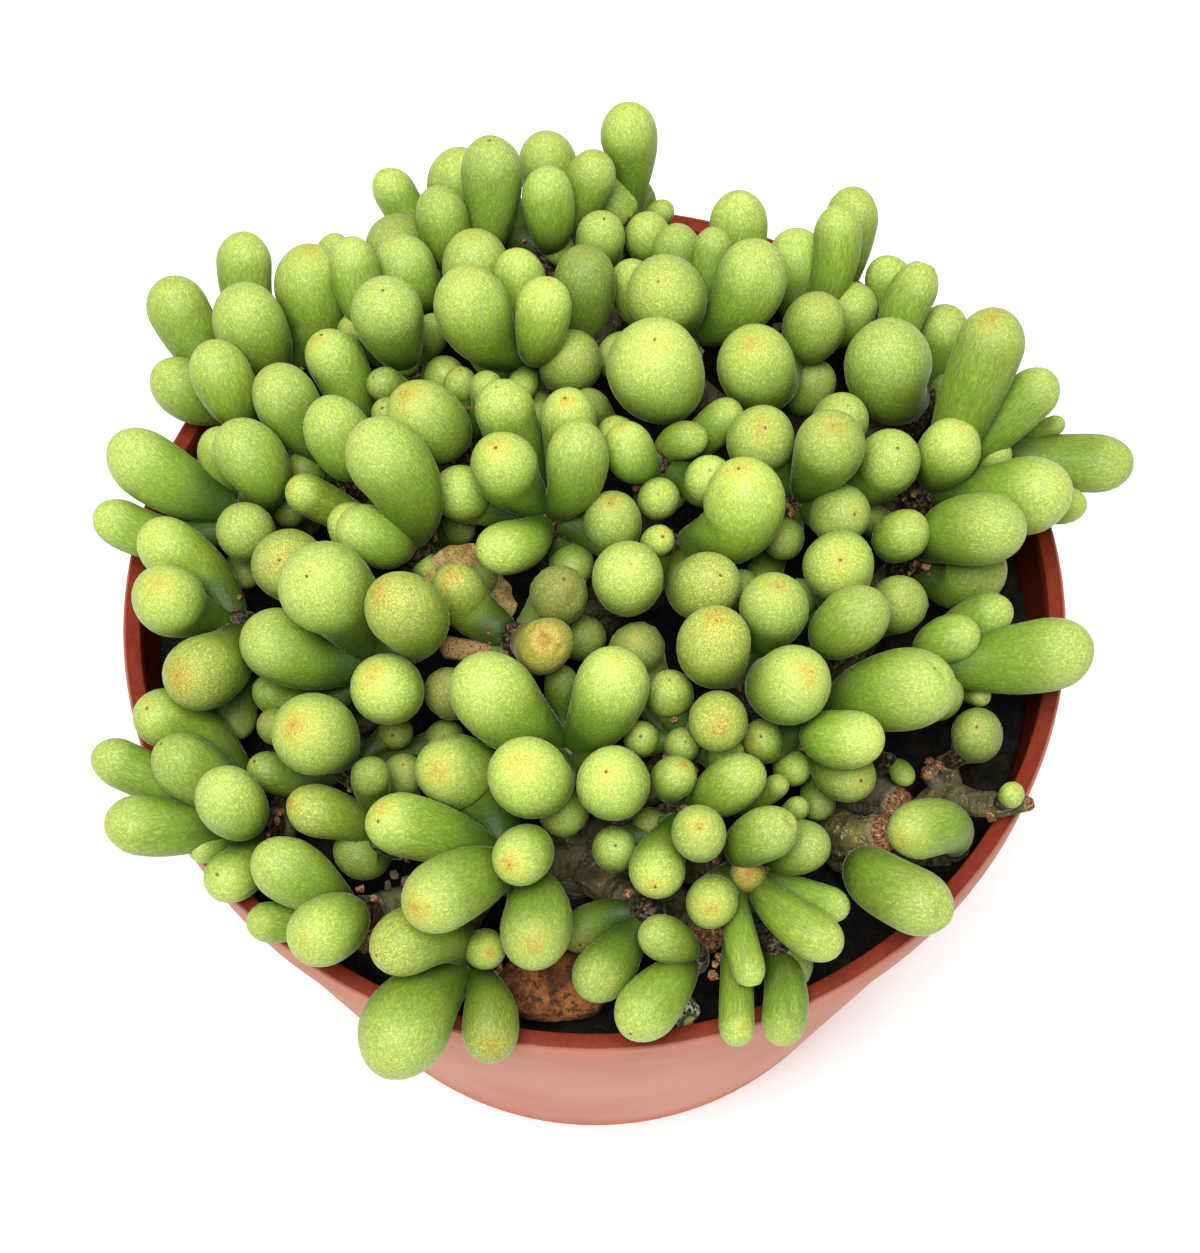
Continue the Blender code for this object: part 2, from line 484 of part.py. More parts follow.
def near_blocks(centres, radii, head, blocks):
    """Pairs of a leaf's ball and a fixed ball that could come to touch."""
    spots, sizes, owners = blocks
    close = []
    for k in range(len(spots)):
        gap = np.sqrt(((centres - spots[k]) ** 2).sum(axis=1)) - radii - sizes[k]
        found = np.nonzero((gap < 2.5) & (head != owners[k]))[0]
        if len(found):
            close.append(np.stack((found, np.full(len(found), k)), axis=1))
    return np.concatenate(close)


def settle(leaves, blocks):
    """Move the leaves along their rays, and a little aside, until none crosses another."""
    count = len(leaves["along"])
    balls = len(BALL_WEIGHT)
    leaf = np.repeat(np.arange(count), balls)
    head = np.repeat(leaves["head"], balls)
    weight = np.tile(BALL_WEIGHT, count)
    up = np.cross(RIGHT, leaves["ray"])
    up /= np.sqrt((up ** 2).sum(axis=1))[:, None]
    start = leaves["along"].copy()
    for step in range(SETTLE_ROUNDS):
        centres, radii = leaf_balls(leaves)
        flat, size = centres.reshape(-1, 3), radii.reshape(-1)
        if step % 20 == 0:
            pairs = near_pairs(flat, size, leaf, head, weight)
            fixed = near_blocks(flat, size, head, blocks)
        move = np.zeros((count * balls, 3))
        worst = np.zeros(count)
        a, b = pairs[:, 0], pairs[:, 1]
        gap = flat[a] - flat[b]
        away = np.sqrt((gap ** 2).sum(axis=1)) + 1e-9
        deep = np.maximum(size[a] + size[b] + CLEAR - away, 0.0)
        push = gap * (0.5 * deep / away)[:, None]
        f, k = fixed[:, 0], fixed[:, 1]
        fixed_gap = flat[f] - blocks[0][k]
        fixed_away = np.sqrt((fixed_gap ** 2).sum(axis=1)) + 1e-9
        fixed_deep = np.maximum(size[f] + blocks[1][k] + CLEAR - fixed_away, 0.0)
        fixed_push = fixed_gap * (fixed_deep / fixed_away)[:, None]
        for i in range(3):
            move[:, i] += np.bincount(a, push[:, i], len(flat))
            move[:, i] -= np.bincount(b, push[:, i], len(flat))
            move[:, i] += np.bincount(f, fixed_push[:, i], len(flat))
        from_pot = push_from_pot(flat, size)
        move += from_pot
        np.maximum.at(worst, leaf[a], deep)
        np.maximum.at(worst, leaf[b], deep)
        np.maximum.at(worst, leaf[f], fixed_deep)
        np.maximum.at(worst, leaf, np.sqrt((from_pot ** 2).sum(axis=1)))
        move *= weight[:, None]
        total = move.reshape(count, balls, 3).sum(axis=1) * 0.45
        reach = np.sqrt((total ** 2).sum(axis=1))
        total *= (np.minimum(reach, 0.8) / np.maximum(reach, 1e-9))[:, None]
        leaves["along"] += (total * leaves["ray"]).sum(axis=1)
        leaves["along"] = np.clip(leaves["along"], start - 7.0, start + 7.0)
        leaves["side"][:, 0] += SIDE_SHARE * total[:, 0]
        leaves["side"][:, 1] += SIDE_SHARE * (total * up).sum(axis=1)
        far = np.sqrt((leaves["side"] ** 2).sum(axis=1))
        leaves["side"] *= (np.minimum(far, SIDE_LIMIT) / np.maximum(far, 1e-9))[:, None]
        if step >= SHRINK_FROM:
            tight = worst > CLEAR * 0.12
            leaves["scale"] = np.where(tight, leaves["scale"] * 0.996, leaves["scale"])
            leaves["scale"] = np.maximum(leaves["scale"], MIN_SCALE)
        leaves["along"] = np.round(leaves["along"], 6)
        leaves["side"] = np.round(leaves["side"], 6)


def under_leaves(heads, rows):
    """Leaves of the under storey, seen only through the gaps between the upper ones."""
    centres, radii = leaf_balls(gather(rows))
    centres, radii = centres.reshape(-1, 3), radii.reshape(-1)
    draw = np.random.default_rng(UNDER_SEED)
    found = []
    for j in range(-UNDER_STEPS, UNDER_STEPS + 1):
        for i in range(-UNDER_STEPS, UNDER_STEPS + 1):
            shift = draw.uniform(-0.8, 0.8, 2)
            across = UNDER_SPACING * (i + 0.5 * (j % 2)) + shift[0]
            up = UNDER_MIDDLE + UNDER_SPACING * 0.87 * j + shift[1]
            outside = math.hypot(across / UNDER_ACROSS, (up - UNDER_MIDDLE) / UNDER_UP) > 1.0
            if outside or up < UNDER_FRONT:
                continue
            ray = view_ray(across, up)
            along = (centres - VIEW_POINT) @ ray
            foot = VIEW_POINT + along[:, None] * ray
            clear = np.sqrt(((centres - foot) ** 2).sum(axis=1)) - radii
            clear = min([float(clear.min())] + found_clear(found, across, up))
            if clear < UNDER_CLEAR:
                continue
            cores = np.array([head["point"] for head in heads])
            feet = VIEW_POINT + ((cores - VIEW_POINT) @ ray)[:, None] * ray
            away = np.sqrt(((cores - feet) ** 2).sum(axis=1))
            index = int(np.argmin(away))
            single = heads[index]["radius"] < CORE_RADIUS
            if single or not UNDER_NEAREST < away[index] < UNDER_FARTHEST:
                continue
            lean = (feet[index] - cores[index]) / away[index]
            width = min(UNDER_WIDTH, 2.0 * clear + 3.6)
            tip = (1.6 * float(lean @ RIGHT), 1.6 * float(lean @ UP))
            found.append((index, (across, up, width) + tip + (1.0,)))
    return found


def found_clear(found, across, up):
    """Distances from a place in the layout to the under leaves found so far."""
    return [math.hypot(row[0] - across, row[1] - up) - 0.5 * row[2] for _, row in found]


def gather(rows):
    """Leaves as one set of arrays."""
    leaves = {key: np.array([row[key] for row in rows]) for key in rows[0]}
    leaves["side"] = np.zeros((len(rows), 2))
    leaves["scale"] = np.ones(len(rows))
    return leaves


def nearest_foot(point):
    """The stem whose foot is nearest to a head."""
    def away(name):
        x, y = STEM_FEET[name]
        return math.hypot(point[0] - x, point[1] - y)
    return min(STEM_FEET, key=away)


def stem_line(head):
    """Points and radii of the woody stem from its trunk to a head."""
    name = nearest_foot(head["point"])
    foot = np.array(STEM_FEET[name] + (SOIL_TOP + 2.6,))
    end = head["point"] - head["axis"] * (head["down"] + GAP)
    small = head["radius"] < CORE_RADIUS
    thick = 1.5 if small else STEM_END
    if head["route"]:
        points = [foot] + [at_height(*stop[:3]) for stop in head["route"]] + [end]
        radii = [STEM_START] + [stop[3] for stop in head["route"]] + [thick]
        return name, points, radii
    low = SOIL_TOP + SOIL_RELIEF + GAP + STEM_START
    first = foot + (end - foot) * 0.35
    first[2] = max(low, first[2] - 0.35 * (end[2] - foot[2]))
    second = end - head["axis"] * 0.35 * max(end[2] - low, 3.0)
    second[2] = max(low, second[2])
    points = []
    for t in (0.0, 0.45, 0.8, 1.0):
        points.append(foot * (1 - t) ** 3 + first * (3 * t * (1 - t) ** 2)
                      + second * (3 * t * t * (1 - t)) + end * t ** 3)
    radii = [STEM_START, thick * 0.95, thick * 1.12, thick]
    return name, points, radii


def fixed_balls(heads):
    """Balls that stand for the cores, the stems and the stone, with the head each belongs to."""
    spots = []
    sizes = []
    owners = []
    for index, head in enumerate(heads):
        steps = np.linspace(-head["down"] + 0.8 * head["radius"], 1.0, 4)
        for step in steps:
            spots.append(head["point"] + head["axis"] * step)
            sizes.append(head["radius"] * 0.95)
            owners.append(index)
        _, points, radii = stem_line(head)
        for p, q, r, s in zip(points, points[1:], radii, radii[1:]):
            for t in (0.0, 0.25, 0.5, 0.75):
                spots.append(p + (q - p) * t)
                sizes.append(r + (s - r) * t)
                owners.append(-1)
    for name, points, radii in BARE_WOOD:
        line = [at_height(*p) for p in points]
        for p, q, r, s in zip(line, line[1:], radii, radii[1:]):
            for t in (0.0, 0.25, 0.5, 0.75, 1.0):
                spots.append(p + (q - p) * t)
                sizes.append(r + (s - r) * t)
                owners.append(-1)
    for x, y in STEM_FEET.values():
        spots.append(np.array((x, y, SOIL_TOP)))
        sizes.append(TRUNK_RADIUS)
        owners.append(-1)
    for shift in (-2.4, 0.0, 2.4):
        spots.append(np.array(STONE_CENTRE) + RIGHT * shift)
        sizes.append(4.6)
        owners.append(-1)
    return np.array(spots), np.array(sizes), np.array(owners)


def grow():
    """All heads and their settled leaves."""
    heads = [make_head(entry[0], len(entry[1]), *entry[2:]) for entry in HEADS]
    rows = []
    for index, entry in enumerate(HEADS):
        rows += [start_leaf(heads[index], index, row) for row in entry[1]]
    rows += [start_leaf(heads[index], index, row) for index, row in under_leaves(heads, rows)]
    for number, (place, row) in enumerate(DRIED_LEAVES.values()):
        base = make_head(place, 1)
        rows.append(start_leaf(base, len(heads) + number, row))
    leaves = gather(rows)
    settle(leaves, fixed_balls(heads))
    return heads, leaves


def clear_scene():
    for item in list(bpy.data.objects):
        bpy.data.objects.remove(item)


def make_material(name, colour, roughness):
    """A plain finish: colour as linear red, green, blue."""
    material = bpy.data.materials.new(name)
    material.use_nodes = True
    shader = material.node_tree.nodes["Principled BSDF"]
    shader.inputs["Base Color"].default_value = (*colour, 1.0)
    shader.inputs["Roughness"].default_value = roughness
    shader.inputs["Metallic"].default_value = 0.0
    material.diffuse_color = (*colour, 1.0)
    return material


def to_metres(point):
    return Vector([float(value) * MM for value in point])


def tube_mesh(name, centres, radii, sides, tip=None):
    """A closed tube through the centres, ending in a point if a tip is given."""
    bm = bmesh.new()
    tangents = [unit(b - a) for a, b in zip(centres, centres[1:])]
    tangents.append(unit(tip - centres[-1]) if tip is not None else tangents[-1])
    across = np.cross(tangents[0], FORWARD)
    if float(across @ across) < 0.01:
        across = np.cross(tangents[0], RIGHT)
    across = unit(across)
    rings = []
    for centre, radius, tangent in zip(centres, radii, tangents):
        across = unit(across - tangent * float(across @ tangent))
        beside = np.cross(tangent, across)
        ring = []
        for k in range(sides):
            turn = 2 * math.pi * k / sides
            spot = centre + (across * math.cos(turn) + beside * math.sin(turn)) * radius
            ring.append(bm.verts.new(to_metres(spot)))
        rings.append(ring)
    for low, high in zip(rings, rings[1:]):
        for k in range(sides):
            n = (k + 1) % sides
            bm.faces.new((low[k], low[n], high[n], high[k]))
    bm.faces.new(rings[0][::-1])
    if tip is None:
        bm.faces.new(rings[-1])
    else:
        point = bm.verts.new(to_metres(tip))
        for k in range(sides):
            bm.faces.new((rings[-1][k], rings[-1][(k + 1) % sides], point))
    bmesh.ops.triangulate(bm, faces=bm.faces)
    mesh = bpy.data.meshes.new(name)
    bm.to_mesh(mesh)
    bm.free()
    return mesh


# A faceted leaf: its sides, its rings up to the widest place, the ring in its tip, and how far
# the facets stand out of the round form so that both have about the same volume
LEAF_RINGS = (0.0, 0.55, 1.0)
SMALL_LEAF_RINGS = (0.0, 1.0)
LEAF_SIDES = 6
SMALL_LEAF_SIDES = 5
SMALL_LEAF = 7.0               # leaves narrower than this have fewer sides and rings
CAP_RING = 0.72
FACET = 1.06


def leaf_mesh(name, root, middle, axis, width):
    """One plump leaf with few sides."""
    small = width < SMALL_LEAF
    places = SMALL_LEAF_RINGS if small else LEAF_RINGS
    centres = [spine_point(root, middle, axis, v) for v in places]
    radii = [0.5 * width * neck_share(v) * FACET for v in places]
    centres.append(middle + axis * CAP_RING * CAP * width)
    radii.append(0.5 * width * math.sqrt(1 - CAP_RING ** 2) * FACET)
    sides = SMALL_LEAF_SIDES if small else LEAF_SIDES
    return tube_mesh(name, centres, radii, sides, middle + axis * CAP * width)


def core_mesh(name, head):
    """The green end of a stem that the leaves of a head grow from, flat underneath."""
    point, axis, radius = head["point"], head["axis"], head["radius"]
    centres = [point - axis * head["down"], point + axis * 0.3 * CORE_UP]
    return tube_mesh(name, centres, [radius, 0.9 * radius], STEM_SIDES, point + axis * CORE_UP)


def is_closed(mesh):
    bm = bmesh.new()
    bm.from_mesh(mesh)
    closed = len(bm.edges) > 0 and all(edge.is_manifold for edge in bm.edges)
    bm.free()
    return closed


def keep_main_body(mesh):
    """Drop loose scraps and the walls of sealed hollows that joining leaves."""
    bm = bmesh.new()
    bm.from_mesh(mesh)
    bmesh.ops.triangulate(bm, faces=bm.faces)
    bm.faces.ensure_lookup_table()
    seen = set()
    bodies = []
    for first in bm.faces:
        if first.index in seen:
            continue
        body = [first]
        seen.add(first.index)
        for face in body:
            for edge in face.edges:
                for other in edge.link_faces:
                    if other.index not in seen:
                        seen.add(other.index)
                        body.append(other)
        bodies.append(body)
    bodies.sort(key=len)
    loose = [face for body in bodies[:-1] for face in body]
    bmesh.ops.delete(bm, geom=loose, context="FACES")
    bm.to_mesh(mesh)
    bm.free()


def evaluated_mesh(item):
    graph = bpy.context.evaluated_depsgraph_get()
    return bpy.data.meshes.new_from_object(item.evaluated_get(graph))


def add_object(name, mesh, material):
    item = bpy.data.objects.new(name, mesh)
    bpy.context.scene.collection.objects.link(item)
    mesh.materials.clear()
    mesh.materials.append(material)
    return item


def combine(base, meshes, operation):
    """Join pieces to a body, or take them out of it."""
    others = bpy.data.collections.new(base.name + "_pieces")
    bpy.context.scene.collection.children.link(others)
    for number, mesh in enumerate(meshes):
        piece = bpy.data.objects.new(f"{base.name}_{number}", mesh)
        piece.hide_render = True
        piece.display_type = "WIRE"
        others.objects.link(piece)
    change = base.modifiers.new("Change", "BOOLEAN")
    change.operation = operation
    change.operand_type = "COLLECTION"
    change.collection = others
    for solver in ("EXACT", "MANIFOLD"):
        change.solver = solver
        result = evaluated_mesh(base)
        if is_closed(result):
            break
    base.modifiers.remove(change)
    base.data = result
    for item in list(others.objects):
        bpy.data.objects.remove(item)
    bpy.data.collections.remove(others)
    keep_main_body(result)
    result.shade_smooth()
    result.set_sharp_from_angle(angle=math.radians(70))


def fuse(name, meshes, material):
    """Join overlapping pieces into one body."""
    base = add_object(name, meshes[0], material)
    combine(base, meshes[1:], "UNION")
    return base


def thin_out(item):
    """Merge the slivers along the seams of a joined body into their neighbours."""
    fewer = item.modifiers.new("Fewer", "DECIMATE")
    fewer.ratio = FACES_KEPT
    mesh = evaluated_mesh(item)
    item.modifiers.remove(fewer)
    if is_closed(mesh):
        item.data = mesh
        mesh.shade_smooth()
        mesh.set_sharp_from_angle(angle=math.radians(70))


def turned_mesh(name, profile, sides):
    """A shape turned round the Z axis from (radius, height) points."""
    bm = bmesh.new()
    points = [bm.verts.new((radius * MM, 0.0, height * MM)) for radius, height in profile]
    edges = [bm.edges.new(pair) for pair in zip(points, points[1:])]
    bmesh.ops.spin(bm, geom=points + edges, cent=(0, 0, 0), axis=(0, 0, 1), steps=sides,
                   angle=2 * math.pi, use_merge=True)
    bmesh.ops.remove_doubles(bm, verts=bm.verts, dist=0.00001)
    bmesh.ops.recalc_face_normals(bm, faces=bm.faces)
    mesh = bpy.data.meshes.new(name)
    bm.to_mesh(mesh)
    bm.free()
    return mesh


def add_cutter(name, centre, radius, bottom, top, sides):
    """A round cutter, shown only as wires."""
    bpy.ops.mesh.primitive_cylinder_add(
        vertices=sides, radius=radius * MM, depth=(top - bottom) * MM,
        location=(centre[0] * MM, centre[1] * MM, 0.5 * (top + bottom) * MM))
    cutter = bpy.context.object
    cutter.name = name
    cutter.hide_render = True
    cutter.display_type = "WIRE"
    return cutter


def cut(item, cutters):
    """Take the cutters' shapes out of an object for good."""
    group = bpy.data.collections.new(item.name + "_cutters")
    bpy.context.scene.collection.children.link(group)
    for cutter in cutters:
        group.objects.link(cutter)
    hole = item.modifiers.new("Holes", "BOOLEAN")
    hole.operation = "DIFFERENCE"
    hole.operand_type = "COLLECTION"
    hole.collection = group
    mesh = evaluated_mesh(item)
    item.modifiers.remove(hole)
    item.data = mesh
    for cutter in cutters:
        bpy.data.objects.remove(cutter)
    bpy.data.collections.remove(group)
    bm = bmesh.new()
    bm.from_mesh(mesh)
    bmesh.ops.dissolve_degenerate(bm, dist=0.00001, edges=bm.edges)
    bm.to_mesh(mesh)
    bm.free()
    mesh.shade_smooth()
    mesh.set_sharp_from_angle(angle=math.radians(40))


def make_pot(material):
    collar = POT_HEIGHT - COLLAR_HEIGHT
    lip = 0.6
    inner_foot = outer_radius(FLOOR_THICKNESS) - SIDE_WALL
    profile = [
        (0.0, FLOOR_THICKNESS),
        (inner_foot, FLOOR_THICKNESS),
        (outer_radius(collar) - SIDE_WALL, collar),
        (RIM_RADIUS - LIP_WALL, collar + 2.0),
        (RIM_RADIUS - LIP_WALL, POT_HEIGHT - lip),
        (RIM_RADIUS - LIP_WALL + lip, POT_HEIGHT),
        (RIM_RADIUS - lip, POT_HEIGHT),
        (RIM_RADIUS, POT_HEIGHT - lip),
        (RIM_RADIUS, collar + COLLAR_STEP),
        (outer_radius(collar), collar),
        (outer_radius(1.0), 1.0),
        (FOOT_RADIUS - 1.0, 0.0),
        (0.0, 0.0),
    ]
    pot = add_object("pot", turned_mesh("pot", profile, POT_SIDES), material)
    cutters = []
    for k in range(DRAIN_COUNT):
        turn = math.pi / DRAIN_COUNT + 2 * math.pi * k / DRAIN_COUNT
        centre = (DRAIN_CIRCLE * math.cos(turn), DRAIN_CIRCLE * math.sin(turn))
        cutters.append(add_cutter(f"drain_{k}", centre, DRAIN_RADIUS, -2.0,
                                  FLOOR_THICKNESS + 2.0, 10))
    cut(pot, cutters)


def soil_height(x, y):
    """The soil's mild unevenness."""
    wave = math.sin(0.21 * x + 0.6) * math.cos(0.17 * y - 0.4) + 0.6 * math.sin(0.31 * y + 0.2 * x)
    return SOIL_TOP + SOIL_RELIEF * wave / 1.6


def make_soil(material):
    """The filling, with its uneven top and a socket for the foot of each stem."""
    floor = FLOOR_THICKNESS + GAP
    wall = SIDE_WALL + GAP
    edge = outer_radius(SOIL_TOP) - wall
    profile = [(0.0, SOIL_TOP), (0.25 * edge, SOIL_TOP), (0.5 * edge, SOIL_TOP),
               (0.75 * edge, SOIL_TOP), (edge, SOIL_TOP), (outer_radius(floor) - wall, floor),
               (0.0, floor)]
    mesh = turned_mesh("soil", profile, POT_SIDES // 2)
    for vertex in mesh.vertices:
        x, y, z = (value / MM for value in vertex.co)
        if z > 0.5 * SOIL_TOP:
            fade = min(1.0, (edge - math.hypot(x, y)) / 6.0)
            vertex.co.z = (SOIL_TOP + fade * (soil_height(x, y) - SOIL_TOP)) * MM
    soil = add_object("soil", mesh, material)
    bottom = SOIL_TOP - SOCKET_DEPTH - GAP
    cutters = [add_cutter(f"socket_{name}", foot, TRUNK_RADIUS + GAP, bottom, SOIL_TOP + 9.0,
                          TRUNK_SIDES)
               for name, foot in STEM_FEET.items()]
    cut(soil, cutters)


def make_stone(material):
    """The rusty stone that lies on the soil at the front."""
    bpy.ops.mesh.primitive_ico_sphere_add(subdivisions=2, radius=1.0)
    stone = bpy.context.object
    stone.name = "stone"
    for vertex in stone.data.vertices:
        x, y, z = vertex.co
        swell = 1.0 + 0.07 * math.sin(3.1 * x + 1.7 * y) + 0.05 * math.cos(2.7 * z + 2.1 * x)
        place = [STONE_CENTRE[i] + STONE_SIZE[i] * vertex.co[i] * swell for i in range(3)]
        place[2] = max(place[2], SOIL_TOP + SOIL_RELIEF + GAP)
        vertex.co = to_metres(place)
    stone.data.materials.append(material)
    stone.data.shade_smooth()


def trunk_mesh(name, foot):
    """A thick foot that stands in the soil and swells where the stems leave it."""
    x, y = foot
    heights = (SOIL_TOP - SOCKET_DEPTH, SOIL_TOP + 1.0, SOIL_TOP + 3.4)
    centres = [np.array((x, y, z)) for z in heights]
    radii = (TRUNK_RADIUS, TRUNK_RADIUS, 0.8 * TRUNK_RADIUS)
    top = np.array((x, y, SOIL_TOP + 5.0))
    return tube_mesh(name, centres, radii, TRUNK_SIDES, top)


def stem_lines(heads):
    """Every branch of every stem as (stem name, points, radii)."""
    lines = [stem_line(head) for head in heads]
    lines += [(name, [at_height(*point) for point in points], radii)
              for name, points, radii in BARE_WOOD]
    return lines


def make_stems(heads, material):
    """The woody stems: one trunk for each foot, with a branch to each of its heads."""
    pieces = {name: [trunk_mesh(name, foot)] for name, foot in STEM_FEET.items()}
    for name, points, radii in stem_lines(heads):
        pieces[name].append(tube_mesh(name, points, radii, STEM_SIDES))
    for name, meshes in pieces.items():
        thin_out(fuse(name, meshes, material))


def clearance(name, points, radii):
    """A branch with the free space round it."""
    end = points[-1] + unit(points[-1] - points[-2]) * (GAP - 0.03)
    return tube_mesh(name, points[:-1] + [end], [r + GAP for r in radii], STEM_SIDES)


def make_heads(heads, leaves, material):
    """Each head's core and its leaves as one body."""
    middle, width = leaf_middle(leaves)
    for index, head in enumerate(heads):
        name = f"leaf_head_{index + 1:02d}"
        meshes = [core_mesh(name, head)]
        for k in np.nonzero(leaves["head"] == index)[0]:
            meshes.append(leaf_mesh(name, leaves["root"][k], middle[k], leaves["axis"][k],
                                    float(width[k])))
        leafy = fuse(name, meshes, material)
        stem = stem_line(head)[0]
        room = [clearance(name, points, radii)
                for owner, points, radii in stem_lines(heads) if owner == stem]
        combine(leafy, room, "DIFFERENCE")
        thin_out(leafy)


def make_dried_leaves(first_index, leaves, material):
    """Withered leaves, wedged between the live ones."""
    middle, width = leaf_middle(leaves)
    for number, name in enumerate(DRIED_LEAVES):
        k = int(np.nonzero(leaves["head"] == first_index + number)[0][0])
        mesh = leaf_mesh(name, leaves["root"][k], middle[k], leaves["axis"][k],
                         DRIED_SPREAD * float(width[k]))
        add_object(name, mesh, material)


def main():
    clear_scene()
    leaf_green = make_material("leaf_green", (0.30, 0.46, 0.09), 0.45)
    wood = make_material("woody_stem", (0.17, 0.13, 0.085), 0.9)
    dried = make_material("dried_leaf", (0.26, 0.19, 0.09), 0.8)
    pot_plastic = make_material("pot_plastic", (0.29, 0.045, 0.026), 0.5)
    soil = make_material("soil", (0.018, 0.013, 0.010), 0.95)
    rusty_stone = make_material("rusty_stone", (0.30, 0.13, 0.045), 0.85)
    heads, leaves = grow()
    make_pot(pot_plastic)
    make_soil(soil)
    make_stone(rusty_stone)
    make_stems(heads, wood)
    make_heads(heads, leaves, leaf_green)
    make_dried_leaves(len(heads), leaves, dried)


main()
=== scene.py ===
# %% [markdown]
# # A potted egg-leaved succulent
# Plump club-shaped leaves crowd at the ends of short knobbly stems, in a round red-brown plastic
# pot 12 cm wide.  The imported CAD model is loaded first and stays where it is.  Each solid in it is
# plain and faceted, so the cells below put a finer piece in the place of each and give every piece
# its finish: skin, bark, plastic, soil and stone.

import math

import bpy
import numpy as np
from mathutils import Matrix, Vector, noise
from mathutils.bvhtree import BVHTree


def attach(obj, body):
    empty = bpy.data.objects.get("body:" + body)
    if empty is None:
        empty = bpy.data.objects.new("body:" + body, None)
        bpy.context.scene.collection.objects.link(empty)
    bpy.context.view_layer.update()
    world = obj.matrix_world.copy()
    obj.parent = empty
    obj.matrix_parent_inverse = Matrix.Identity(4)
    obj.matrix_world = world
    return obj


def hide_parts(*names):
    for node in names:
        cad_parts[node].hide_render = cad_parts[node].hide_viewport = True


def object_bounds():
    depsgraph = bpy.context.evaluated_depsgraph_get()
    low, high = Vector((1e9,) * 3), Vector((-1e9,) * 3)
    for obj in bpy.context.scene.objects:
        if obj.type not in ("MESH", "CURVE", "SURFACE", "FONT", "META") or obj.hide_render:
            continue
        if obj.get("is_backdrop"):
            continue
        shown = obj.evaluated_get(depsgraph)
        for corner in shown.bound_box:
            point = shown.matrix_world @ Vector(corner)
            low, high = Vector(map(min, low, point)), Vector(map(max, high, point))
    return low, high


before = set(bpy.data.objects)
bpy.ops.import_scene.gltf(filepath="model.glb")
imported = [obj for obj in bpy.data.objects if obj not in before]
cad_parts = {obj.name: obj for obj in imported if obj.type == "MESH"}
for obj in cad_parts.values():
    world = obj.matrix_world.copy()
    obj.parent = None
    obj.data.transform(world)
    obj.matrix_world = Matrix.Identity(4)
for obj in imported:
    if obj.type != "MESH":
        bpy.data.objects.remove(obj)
cad_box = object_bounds()
MM = 0.001
print("nodes", len(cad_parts), "box", [round(1000 * v, 1) for v in cad_box[1] - cad_box[0]])

# %% [markdown]
# ## The camera
# The photograph looks down on the pot from above and in front, about 64 degrees above the table.
# The camera stands at the same point from which the whole plant is laid out further on, so a leaf
# that is placed by where it shows comes out there.  A long lens keeps the far rim nearly as wide
# as the near one.

# %% Camera at the photograph's angle
VIEW_POINT = np.array((0.7, -139.0, 362.7))
VIEW_TILT = math.radians(63.8)
LAYOUT_DISTANCE = 300.0

lens = bpy.data.cameras.new("camera")
lens.lens = 68.95
lens.sensor_width = 36.0
camera = bpy.data.objects.new("camera", lens)
camera.location = Vector(VIEW_POINT) * MM
camera.rotation_euler = (math.pi / 2 - VIEW_TILT, 0.0, 0.0)
bpy.context.scene.collection.objects.link(camera)
bpy.context.scene.camera = camera
print("camera", [round(v, 3) for v in camera.location])

# %% [markdown]
# ## The plan of the plant
# Nothing here is drawn leaf by leaf in space.  The plan says where each head of leaves shows from
# the camera, and for each leaf its widest place, its width and where its tip points.  The sizes
# are millimetres on a plane 300 mm from the camera.  The same plan made the CAD solids, so the
# finer leaves below come out in the same places.

# %% Named sizes of the pot, the mound and the leaves
GAP = 0.3                      # clear distance between touching pieces
RIM_RADIUS = 60.0
POT_HEIGHT = 90.0
FOOT_RADIUS = 45.6
LIP_WALL = 2.3
SIDE_WALL = 1.7
COLLAR_HEIGHT = 5.6
COLLAR_STEP = 0.5
FLOOR_THICKNESS = 2.4
DRAIN_RADIUS = 3.5
DRAIN_CIRCLE = 30.0
DRAIN_COUNT = 4
SOIL_TOP = 80.0
SOIL_RELIEF = 0.5
SOCKET_DEPTH = 11.0            # how far a stem's foot stands in its hole
CROWN_RISE = 16.0              # above the rim, in the middle of the pot
CROWN_FALL = 14.0              # lower than that at CROWN_RADIUS
CROWN_RADIUS = 55.0
HEAD_LEAN = 0.45               # outward lean of a head at the rim
HEAD_LIMIT = 52.5              # heads stand this far from the pot's axis at most
LOWEST_HEAD = 89.0
CAP = 0.62                     # from the widest place to the tip, in widths
REACH = 1.1                    # from the root to the widest place, in widths
NECK = 0.46                    # width at the root, as a share of the full width
LEAF_ROOT_SINK = 0.6
CORE_UP = 3.0
CORE_DOWN = 6.2
CORE_RADIUS = 3.0
SMALL_CORE_RADIUS = 1.5
SMALL_CORE_DOWN = 2.5
TRUNK_RADIUS = 5.0
STEM_START = 2.6
STEM_END = 2.2
FORWARD = np.array((0.0, math.cos(VIEW_TILT), -math.sin(VIEW_TILT)))
RIGHT = np.array((1.0, 0.0, 0.0))
UP = np.array((0.0, math.sin(VIEW_TILT), math.cos(VIEW_TILT)))
print("crown", POT_HEIGHT + CROWN_RISE, "mm high in the middle")

